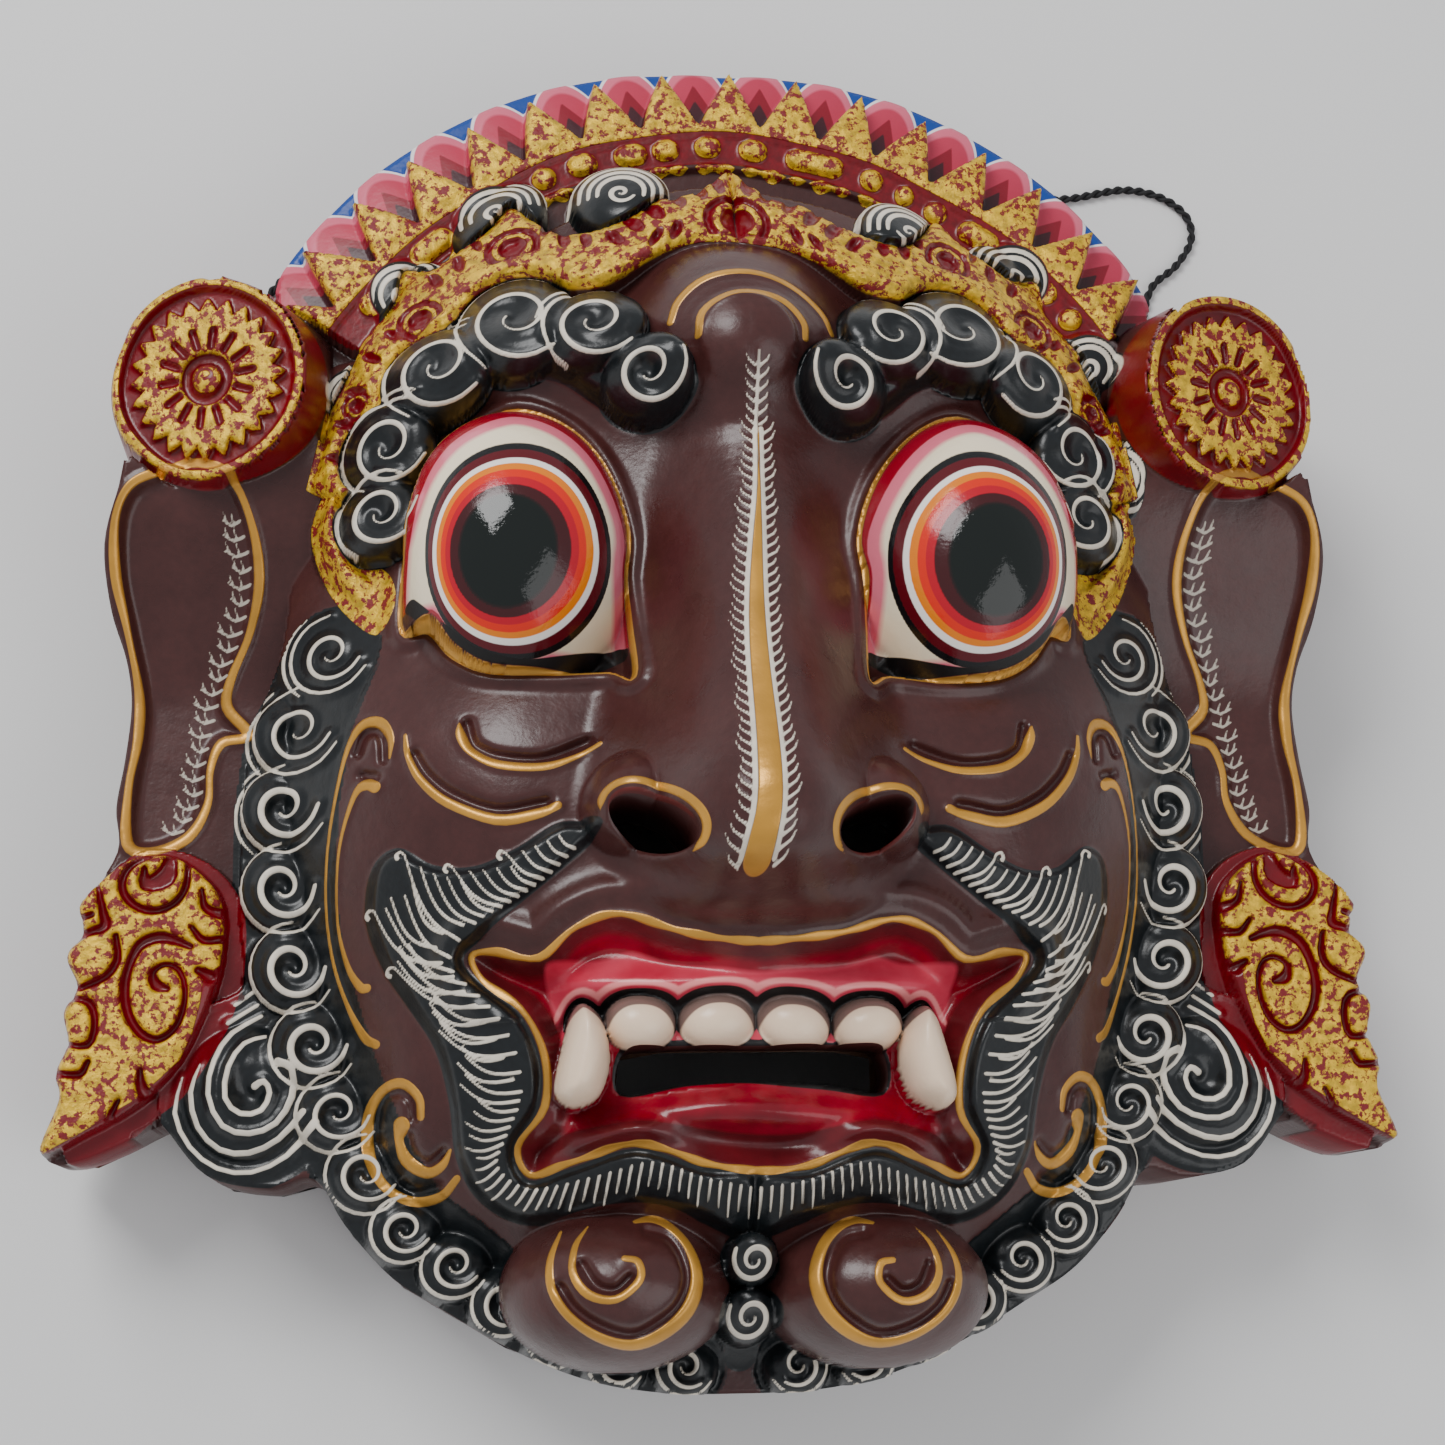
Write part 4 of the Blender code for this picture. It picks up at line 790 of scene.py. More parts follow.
    cx, cy, radius = PLUG
    across = (side - cx) / math.cos(math.radians(PLUG_LEAN))
    out = np.hypot(across, y - cy)
    slot_pitch = 360 / PLUG_SLOTS
    round_angle = np.degrees(np.arctan2(y - cy, across))
    point = np.abs((round_angle / PLUG_POINT_PITCH) % 1.0 - 0.5) * 2
    rosette = np.minimum(14.3 + 2.9 * point - out, out - 5.4)
    slot = ((round_angle + 6) / slot_pitch + 0.5) % 1.0 - 0.5
    slots = 0.85 - np.hypot(slot * np.radians(slot_pitch) * out, np.maximum(np.abs(out - 8.4) - 1.6, 0))
    wall = plug_wall(side, y) - ear_plane(y)
    beside = np.minimum(np.minimum(wall * 0.4, radius - 0.2 - np.abs(y - cy)), cx - side)
    fields["plug"] = np.maximum(radius + 0.6 - out, beside)
    leaf = np.maximum(leaf, np.minimum(rosette, -slots))
    leaf = np.maximum(leaf, np.minimum(out - 19.4, radius - 0.2 - out))
    button_line = blank.copy()
    draw(button_line, side, y, [(cx + across, cy + up, 0.3) for across, up in PLUG_BUTTON_LINE])
    fields["plug_out"] = out
    leaf = np.maximum(leaf, np.minimum(3.1 - out, -button_line))

    pendant = depth_in(side, y, LEAF)
    face = depth_in(side, y, LEAF_FACE)
    grooves = blank.copy()
    for stroke in LEAF_GROOVES:
        draw(grooves, side, y, [(px, py, half * 0.82) for px, py, half in stroke], steps=3)
    gilded = np.minimum(face, depth_inside(side, y, np.array(LEAF_GILT_EDGE, float)))
    leaf = np.maximum(leaf, np.minimum(gilded, -grooves))
    fields["leaf_red"] = np.maximum(pendant, face)
    fields.update(leaf_groove=grooves, leaf_face=face, gold_leaf=leaf, beans=beans, slots=slots,
                  rosette=rosette)
    return fields


def above_slit(side, y):
    """Height over the slit under an eye."""
    line = smooth_curve(EYE_SLIT)[::-1]
    return y - np.interp(side, line[:, 0], line[:, 1])


def lock_relief(z, foot, side, y, lock, rise, eye=0.4):
    """A domed lock with a hollow eye."""
    cx, cy, radius = lock[:3]
    out = np.hypot(side - cx, y - cy) / radius
    dome = rise * np.clip(1 - out * out, 0, 1) ** 0.5 - eye * rise * np.exp(-(out / 0.38) ** 2)
    return np.where(out < 1, np.maximum(z, foot + dome), z)


def carve_mouth(z, x, side, y, fields):
    """Whisker band, lips, gums, front teeth and fangs."""
    z = z + 3.4 * smoothstep(-0.3, 2.4, depth_in(side, y, WHISKER_OUTER + WHISKER_INNER))
    depth = fields["lip_shade"]
    lip_roll = (y > -60) & (depth_in(x, y, mirrored(WHISKER_OUTER)) > 0)
    z = z + lip_roll * 2.2 * np.exp(-((depth + 4.5) / 2.6) ** 2)
    z = z - 8.5 * smoothstep(0.0, 6.5, depth)
    inside = smoothstep(0.0, 3.0, depth)
    z = z + inside * 4.0 * np.exp(-((y + 54) / 3.2) ** 2) * smoothstep(40, 30, side)
    lower_lip = -79.5 + 1.5 * np.cos(np.pi * x / 40)
    z = z + inside * 6.5 * np.exp(-((y - lower_lip) / 4.2) ** 2) * smoothstep(44, 34, side)
    tooth = fields["tooth_edge_shade"]
    z = z - 1.6 * smoothstep(-1.6, -0.4, tooth) * smoothstep(-66, -60, y)
    for centre, half in TEETH:
        shape = ellipse(side, y, centre, TEETH_ROW[0], half, 5.4)
        z = np.maximum(z, np.where(shape < 1, 78.0 + 8 * np.clip(1 - shape, 0, 1) ** 0.4, 0))
    fang = depth_in(side, y, FANG)
    bulge = np.clip(1 - (1 - np.clip(fang, 0, 5) / 5) ** 2, 0, 1) ** 0.5
    return np.maximum(z, np.where(fang > 0, 77 + 11 * bulge, 0))


def carve_eyes(z, side, y):
    """Lids, sockets and the bulging eyeballs, with a deep slit under each."""
    depth = depth_in(side, y, EYE)
    foot, rise = EYEBALL_HEIGHT
    bulge = foot + rise * np.sqrt(np.clip(1 - ellipse(side, y, *EYEBALL), 0, 1))
    lid = z + 1.8 * np.exp(-((depth + 1.3) / 1.5) ** 2)
    slit = 3.0 + 2.0 * smoothstep(18, 10, y) * smoothstep(5.0, 2.5, depth)
    return np.where(depth > 0, np.maximum(bulge, z - slit * smoothstep(0, 1.2, depth)), lid)


def carve_crown(z, x, y, fields):
    """The sloping ring of petals, the row of teeth on it and the band of pellets inside it."""
    r = np.hypot(x - CROWN_CENTRE[0], y - CROWN_CENTRE[1])
    low, high = BAND_RING
    ring = 42.5 - 0.28 * (r - high) + 1.6 * np.sqrt(np.clip(1 - fields["petal"] ** 2, 0, 1))
    ring = ring + (48.0 - ring) * smoothstep(high + 0.8, high - 0.2, r)
    ring = ring + 0.5 * smoothstep(1.3, 0.7, np.abs(r - OUTER_LINE_RADIUS)) - 0.6 * smoothstep(95.9, 95.3, r)
    ring = ring + (46.5 - ring) * smoothstep(low + 0.6, low - 0.6, r)
    ring = ring + 0.8 * smoothstep(1.0, 0.4, np.abs(r - 88.6))
    angle = np.degrees(np.arctan2(x - CROWN_CENTRE[0], y - CROWN_CENTRE[1]))
    raised = np.minimum(fields["gold_leaf"], CLIP)
    pellets = (r > 90.0) & (r < 96.3)
    ring = ring + pellets * 1.7 * smoothstep(-0.3, 1.3, raised)
    tooth = (r >= 98.2) * smoothstep(-0.45, 0.45, raised)
    tooth_top = 48.5 - 0.2 * (r - high) + 0.5 * smoothstep(0.3, 1.8, raised)
    ring = ring + (tooth_top - ring) * tooth
    return np.where((np.abs(angle) < CROWN_SPAN) & (r > 80), ring, z)


def carve_diadem(z, side, y, fields):
    """The leafy band over the forehead, with its brooches and beans."""
    depth = fields["diadem"]
    plate = head_dome(side, y) + 7 + 1.8 * smoothstep(0, 2.5, depth)
    plate = plate - 1.7 * smoothstep(-0.3, 0.9, fields["beans"])
    plate = plate + 0.25 * np.sin(side * 2.1 + y) * np.sin(y * 1.7 - side * 0.8)
    return z + (np.maximum(z, plate) - z) * smoothstep(-0.7, 0.5, depth)


def carve_head(x, side, y, fields):
    """Height of the head over the table, in carver's units."""
    bare = face_form(side, y)
    z = bare + 1.3 * smoothstep(0, 1.5, 10.2 - np.hypot(x, y - 70)) * smoothstep(60, 70, y)
    z = z + 4.5 * smoothstep(-0.3, 3.0, depth_in(side, y, BROW))
    for line in CHEEK_GROOVES:
        away = away_from(side, y, smooth_curve(line))
        z = z - 1.9 * np.exp(-(away / 0.95) ** 2)
    chin = ellipse(side, y, *CHIN_BULB)
    bulb = ball(chin, *CHIN_BULB_HEIGHT)
    for line in CHEEK_GROOVES[-2:]:
        bulb = bulb - 1.9 * np.exp(-(away_from(side, y, smooth_curve(line)) / 0.95) ** 2)
    z = np.maximum(z, np.where(chin < 1, bulb, 0))
    z = z + 0.35 * smoothstep(-1.0, 0.6, fields["gilt"]) * (side < 84)
    z = carve_mouth(z, x, side, y, fields)
    z = carve_eyes(z, side, y)
    for lock in BROW_LOCKS:
        z = lock_relief(z, bare + 3.5, side, y, lock, LOCK_RISE)
    for lock in SIDE_LOCKS:
        z = lock_relief(z, SIDE_LOCK_FOOT, side, y, lock, LOCK_RISE)
    for lock in CHIN_LOCKS:
        z = lock_relief(z, bare + 7, side, y, lock, CHIN_LOCK_RISE)
    cx, cy, radius = LARGE_LOCK
    out = np.hypot(side - cx, y - cy) / radius
    z = np.where(out < 1, np.maximum(z, 30 + 17 * np.sqrt(np.clip(1 - out * out, 0, 1))
                                     - 3 * np.exp(-(out / 0.2) ** 2)), z)
    z = carve_crown(z, x, y, fields)
    shown = smoothstep(0.3, -0.5, fields["diadem"])
    for lock in CROWN_LOCKS:
        foot = head_dome(side, y) + 2.5
        dome = lock_relief(z, foot, *crown_lock_place(x, y), lock, CROWN_LOCK_RISE, eye=0.1)
        z = z + (dome - z) * shown
    z = carve_diadem(z, side, y, fields)
    temple = depth_in(side, y, TEMPLE)
    z = np.maximum(z, np.where(temple > 0, 52 + 7 * smoothstep(0, 4, temple), 0))
    z = z + 0.9 * (smoothstep(-1.7, 0.5, fields["chalk"]) - 0.5) * smoothstep(0, 1, fields["hair"])
    return z + 0.18 * smoothstep(-0.4, 0.3, fields["hairs"])


def ear_plane(y):
    """Height of the flat of an ear."""
    return 35 + 17 * smoothstep(8, 58, y)


def plug_wall(side, y):
    """Height of the side wall under the raised inner edge of the leaning ear plug."""
    cx, cy, radius = PLUG
    lean = math.radians(PLUG_LEAN)
    inner_edge = cx - np.sqrt(np.clip(radius ** 2 - (y - cy) ** 2, 0, None)) * math.cos(lean)
    return PLUG_HEIGHT - math.tan(lean) * (inner_edge - cx) - (inner_edge - side) / math.tan(lean)


def carve_ear(side, y, fields):
    """Height of an ear, its plug and its leaf pendant, in carver's units."""
    z = ear_plane(y)
    line = depth_in(side, y, EAR_LINE)
    z = z - 2.0 * smoothstep(0, 3, line) + 0.5 * smoothstep(1.9, 0.7, np.abs(line))
    z = np.where(depth_in(side, y, EAR) > -3, z, 34.0)
    z = np.where(fields["leaf_red"] > 0, np.maximum(z, 38.0), z)
    plate = 43.2 - 2.4 * smoothstep(-0.5, 0.5, fields["leaf_groove"])
    plate = plate + 0.7 * smoothstep(0, 2.2, fields["leaf_face"])
    z = z + (np.maximum(z, plate) - z) * smoothstep(-0.6, 0.4, fields["leaf_face"])
    cx, cy, radius = PLUG
    out = fields["plug_out"]
    lean = math.tan(math.radians(PLUG_LEAN))
    disc = PLUG_HEIGHT - lean * (side - cx)
    z = np.where(out < radius + 1.0, np.minimum(z, disc - 4.0), z)
    disc = disc - 2.4 * smoothstep(19.4, 18.6, out) - 0.5 * smoothstep(20.6, 21.5, out)
    disc = disc + 2.4 * smoothstep(-0.3, 0.6, fields["rosette"])
    disc = disc - 1.5 * smoothstep(-0.3, 0.6, fields["slots"])
    disc = disc + 2.8 * np.sqrt(np.clip(1 - (out / 3.5) ** 2, 0, 1))
    z = z + (np.maximum(z, disc) - z) * smoothstep(radius + 0.4, radius - 0.3, out)
    beside = (out >= radius) & (side < cx) & (np.abs(y - cy) < radius)
    z = np.where(beside, np.maximum(z, plug_wall(side, y)), z)
    return np.where(side > EAR_START, z, 0)


def hollow_share(x, y):
    """Distance from the middle of the hollow as a share of its half size, 1 at its edge."""
    wide, tall = (half - RIM_WIDTH / UNIT for half in HOLLOW_HALF)
    across, up = np.abs(x) / wide, np.abs(y - HEAD_CENTRE_Y) / tall
    return (across ** HOLLOW_POWER + up ** HOLLOW_POWER) ** (1 / HOLLOW_POWER)


def hollow_height(x, y):
    """Height of the hollow's ceiling: a wall's thickness under the dome, closing down to the rim."""
    share = np.clip(hollow_share(x, y), 0, 1)
    ceiling = with_mounds(head_dome(x, y) - WALL / UNIT, x, y, HOLLOW_MOUNDS)
    return ceiling * (1 - share ** 5) ** 0.5


def whole_outline():
    """The silhouette: from top centre round by plug, ear, leaf and large lock to the chin, and back."""
    cx, cy, radius = PLUG
    tall = radius - 0.1
    wide = tall * math.cos(math.radians(PLUG_LEAN))
    ring = [(cx + wide * math.cos(a), cy + tall * math.sin(a)) for a in np.radians(np.arange(130, -45, -7.0))]
    half = HEAD_HALF[:7] + ring + EAR_EDGE + LEAF_EDGE + LEAF_FOOT + HEAD_HALF[17:]
    line = smooth_curve(mirrored(half), closed=True)
    line[:, 0] = np.clip(line[:, 0], -PLAN_WIDTH / 2, PLAN_WIDTH / 2)
    return line


def link(name, mesh):
    """A new object in the scene."""
    made = bpy.data.objects.new(name, mesh)
    bpy.context.scene.collection.objects.link(made)
    return made


def mesh_of(name, bm, smooth=True):
    """The mesh of a bmesh that is done with."""
    mesh = bpy.data.meshes.new(name)
    bm.to_mesh(mesh)
    bm.free()
    mesh.polygons.foreach_set("use_smooth", [smooth] * len(mesh.polygons))
    return mesh


def snap_to(bm, verts, line):
    """Move the vertices on to the nearest place of a closed line."""
    starts, runs = line, np.roll(line, -1, axis=0) - line
    for v in verts:
        offset = np.array(v.co[:2]) - starts
        t = np.clip((offset * runs).sum(1) / np.maximum((runs * runs).sum(1), 1e-12), 0, 1)
        near = starts + runs * t[:, None]
        v.co.xy = near[np.argmin(((near - v.co[:2]) ** 2).sum(1))]


def relief_grid(step):
    """The mask's whole plan as a flat grid with holes for mouth and nostrils, in carver's units."""
    outline = whole_outline()
    low, high = outline.min(0) - step, outline.max(0) + step
    size = high - low
    bm = bmesh.new()
    place = Matrix.Translation((*((low + high) / 2), 0)) @ Matrix.Diagonal((*(size / 2), 1, 1))
    bmesh.ops.create_grid(bm, x_segments=int(size[0] / step), y_segments=int(size[1] / step), size=1.0,
                          matrix=place)
    at = np.array([v.co[:2] for v in bm.verts])
    holes = [smooth_curve(MOUTH_HOLE, closed=True, steps=6)]
    holes += [smooth_curve(nostril_outline(hand), closed=True, steps=6) for hand in (1, -1)]
    outside = depth_inside(at[:, 0], at[:, 1], outline) < 0.3 * step
    for hole in holes:
        outside |= depth_inside(at[:, 0], at[:, 1], hole) > -0.3 * step
    bmesh.ops.delete(bm, geom=[v for v, out in zip(bm.verts, outside) if out], context="VERTS")
    bmesh.ops.delete(bm, geom=[v for v in bm.verts if len(v.link_faces) == 0], context="VERTS")
    bmesh.ops.delete(bm, geom=[e for e in bm.edges if len(e.link_faces) == 0], context="EDGES")
    border = [v for v in bm.verts if v.is_boundary]
    spots = np.array([v.co[:2] for v in border])
    near_hole = [depth_inside(spots[:, 0], spots[:, 1], hole) > -3 * step for hole in holes]
    for hole, near in zip(holes, near_hole):
        snap_to(bm, [v for v, n in zip(border, near) if n], hole)
    any_hole = np.any(near_hole, axis=0)
    snap_to(bm, [v for v, n in zip(border, any_hole) if not n], outline)
    return bm


def carve(x, y):
    """Heights and paint fields at points of the plan, with a hand's small waver in every line."""
    waver_x = 0.5 * np.sin(0.061 * y + 0.8) * np.sin(0.043 * x) + 0.25 * np.sin(0.17 * x + 0.11 * y)
    waver_y = 0.5 * np.sin(0.052 * x - 0.6) + 0.25 * np.sin(0.19 * x - 0.07 * y + 1.0)
    inside = depth_in(x, y, mirrored(HEAD_HALF))
    calm = smoothstep(126, 118, np.abs(x)) * smoothstep(136, 120, np.abs(y - 10))
    px, py = x + calm * waver_x, y + calm * waver_y
    side = np.abs(px)
    fields = paint_fields(px, side, py)
    head = np.where(inside > -0.7, carve_head(px, side, py, fields), 0)
    ear = np.where(np.abs(x) > EAR_START, carve_ear(side, py, fields), 0)
    return np.maximum(head, ear), fields


def ear_side(x, y):
    """True outside the line along which the ears spring from the head."""
    line = np.array([*smooth_curve(EAR_ROOT, steps=3), (150, -88), (150, 104)])
    return depth_inside(np.abs(x), y, line) > 0


def carved_whole(step):
    """The whole carved surface with its outer edge and the walls of its holes, as one mesh in metres."""
    bm = relief_grid(step)
    at = np.array([v.co[:2] for v in bm.verts])
    height, fields = carve(at[:, 0], at[:, 1])
    for v, z in zip(bm.verts, height):
        v.co.z = z
    bm.verts.index_update()
    top = bm.verts[:]
    rim = [e for e in bm.edges if e.is_boundary]
    source = {(round(v.co.x, 5), round(v.co.y, 5)): v.index for v in top if v.is_boundary}
    grown = bmesh.ops.extrude_edge_only(bm, edges=rim)["geom"]
    skirt = [v for v in grown if isinstance(v, bmesh.types.BMVert)]
    spots = np.array([v.co[:2] for v in skirt])
    outer = depth_inside(spots[:, 0], spots[:, 1], whole_outline())
    on_ear = ear_side(spots[:, 0], spots[:, 1])
    ceiling = hollow_height(spots[:, 0], spots[:, 1])
    origin = [source[(round(v.co.x, 5), round(v.co.y, 5))] for v in skirt]
    for v, depth, ear, roof in zip(skirt, outer, on_ear, ceiling):
        if depth > 3.0:
            v.co.z = roof - 0.3
        else:
            v.co.z = EAR_BACK_GAP / UNIT if ear else 0.0
    bmesh.ops.translate(bm, vec=(0, -PLAN_CENTRE_Y, 0), verts=bm.verts[:])
    bmesh.ops.scale(bm, vec=(UNIT, UNIT, UNIT), verts=bm.verts[:])
    bmesh.ops.recalc_face_normals(bm, faces=bm.faces[:])
    if sum(f.normal.z for f in bm.faces) < 0:
        bmesh.ops.reverse_faces(bm, faces=bm.faces[:])
    bm.verts.index_update()
    upper, lower = [v.index for v in top], [v.index for v in skirt]
    mesh = mesh_of("whole_relief", bm, smooth=False)
    for name, values in fields.items():
        full = np.empty(len(mesh.vertices))
        full[upper] = values
        full[lower] = values[origin]
        store(mesh, name, np.clip(full, *(MEASURE_RANGE if name in MEASURES else (-CLIP, CLIP))))
    wall = np.zeros(len(mesh.vertices))
    wall[lower] = 1.0
    store(mesh, "wall", wall)
    return mesh


def store(mesh, name, values):
    """Write one value for each vertex."""
    made = mesh.attributes.new(name, "FLOAT", "POINT")
    made.data.foreach_set("value", np.asarray(values, np.float32))


def read(mesh, name):
    """Read one value for each vertex."""
    found = np.empty(len(mesh.vertices), np.float32)
    mesh.attributes[name].data.foreach_get("value", found)
    return found


def region_of(x, y):
    """Number of the piece that a place on the plan belongs to."""
    ear = ear_side(x, y) & (y < EAR_TOP)
    found = np.where(y > CUT_HEIGHTS[0], 0, np.where(y > CUT_HEIGHTS[1], 1, 2))
    found = np.where(ear & (x < 0), 3, found)
    return np.where(ear & (x > 0), 4, found)


def pieces_of(whole, names):
    """Cut the whole surface into pieces that keep its smooth shading across the cuts."""
    normals = np.empty(len(whole.vertices) * 3)
    whole.vertices.foreach_get("normal", normals)
    normals = normals.reshape(-1, 3)
    for i, axis in enumerate("xyz"):
        store(whole, "whole_normal_" + axis, normals[:, i])
    centres = np.empty(len(whole.polygons) * 3)
    whole.polygons.foreach_get("center", centres)
    centres = centres.reshape(-1, 3) / UNIT
    region = region_of(centres[:, 0], centres[:, 1] + PLAN_CENTRE_Y)
    made = []
    for number, name in enumerate(names):
        mesh = whole.copy()
        mesh.name = name
        bm = bmesh.new()
        bm.from_mesh(mesh)
        bm.faces.ensure_lookup_table()
        bmesh.ops.delete(bm, geom=[f for f, r in zip(bm.faces, region) if r != number], context="FACES")
        bm.to_mesh(mesh)
        bm.free()
        mesh.polygons.foreach_set("use_smooth", [True] * len(mesh.polygons))
        directions = np.stack([read(mesh, "whole_normal_" + axis) for axis in "xyz"], axis=1)
        mesh.normals_split_custom_set_from_vertices(directions)
        made.append(link(name, mesh))
    for piece in made:
        for axis in "xyz":
            piece.data.attributes.remove(piece.data.attributes["whole_normal_" + axis])
    return made


class Paint:
    """Builds a layered paint: each layer is laid over the last where its attribute is positive."""

    def __init__(self, name):
        self.material = bpy.data.materials.new(name)
        self.material.use_nodes = True
        self.tree = self.material.node_tree
        self.shader = self.tree.nodes["Principled BSDF"]
        self.place = self.add("ShaderNodeTexCoord").outputs["Object"]

    def add(self, kind, **settings):
        node = self.tree.nodes.new(kind)
        for key, value in settings.items():
            setattr(node, key, value)
        return node

    def set(self, socket, value):
        if isinstance(value, bpy.types.NodeSocket):
            self.tree.links.new(value, socket)
        elif isinstance(value, tuple) and len(value) == 3 and socket.type == "RGBA":
            socket.default_value = (*value, 1)
        else:
            socket.default_value = value

    def field(self, name):
        return self.add("ShaderNodeAttribute", attribute_name=name).outputs["Fac"]

    def over(self, value, low, high, to_low=0.0, to_high=1.0):
        node = self.add("ShaderNodeMapRange")
        for key, item in zip(("Value", "From Min", "From Max", "To Min", "To Max"),
                             (value, low, high, to_low, to_high)):
            self.set(node.inputs[key], item)
        return node.outputs["Result"]

    def math(self, operation, a, b=0.0):
        node = self.add("ShaderNodeMath", operation=operation)
        self.set(node.inputs[0], a)
        self.set(node.inputs[1], b)
        return node.outputs[0]

    def blend(self, share, a, b):
        node = self.add("ShaderNodeMix", data_type="RGBA")
        self.set(node.inputs["Factor"], share)
        self.set(node.inputs[6], a)
        self.set(node.inputs[7], b)
        return node.outputs[2]

    def mix_value(self, share, a, b):
        node = self.add("ShaderNodeMix", data_type="FLOAT")
        self.set(node.inputs["Factor"], share)
        self.set(node.inputs[2], a)
        self.set(node.inputs[3], b)
        return node.outputs[0]

    def noise(self, size, detail=3.0, roughness=0.55):
        """Cloudy noise with features of about the given size in metres."""
        node = self.add("ShaderNodeTexNoise")
        self.set(node.inputs["Vector"], self.place)
        node.inputs["Scale"].default_value = 1.0 / size
        node.inputs["Detail"].default_value = detail
        node.inputs["Roughness"].default_value = roughness
        return node.outputs["Fac"]

    def ramp(self, value, stops):
        node = self.add("ShaderNodeValToRGB")
        ramp = node.color_ramp
        while len(ramp.elements) < len(stops):
            ramp.elements.new(0.5)
        for element, (place, colour) in zip(ramp.elements, stops):
            element.position = place
            element.color = (*colour, 1)
        self.set(node.inputs["Fac"], value)
        return node.outputs["Color"]

    def bump(self, height, distance, strength=1.0, under=None):
        node = self.add("ShaderNodeBump")
        node.inputs["Strength"].default_value = strength
        node.inputs["Distance"].default_value = distance
        self.set(node.inputs["Height"], height)
        if under is not None:
            self.set(node.inputs["Normal"], under)
        return node.outputs["Normal"]


def srgb(red, green, blue):
    """A colour from its 0-255 values on the screen, as light."""
    return tuple((v / 255 / 12.92) if v / 255 <= 0.04045 else ((v / 255 + 0.055) / 1.055) ** 2.4
                 for v in (red, green, blue))


def shaded(colour, share):
    """A colour made darker or lighter."""
    return tuple(v * share for v in colour)


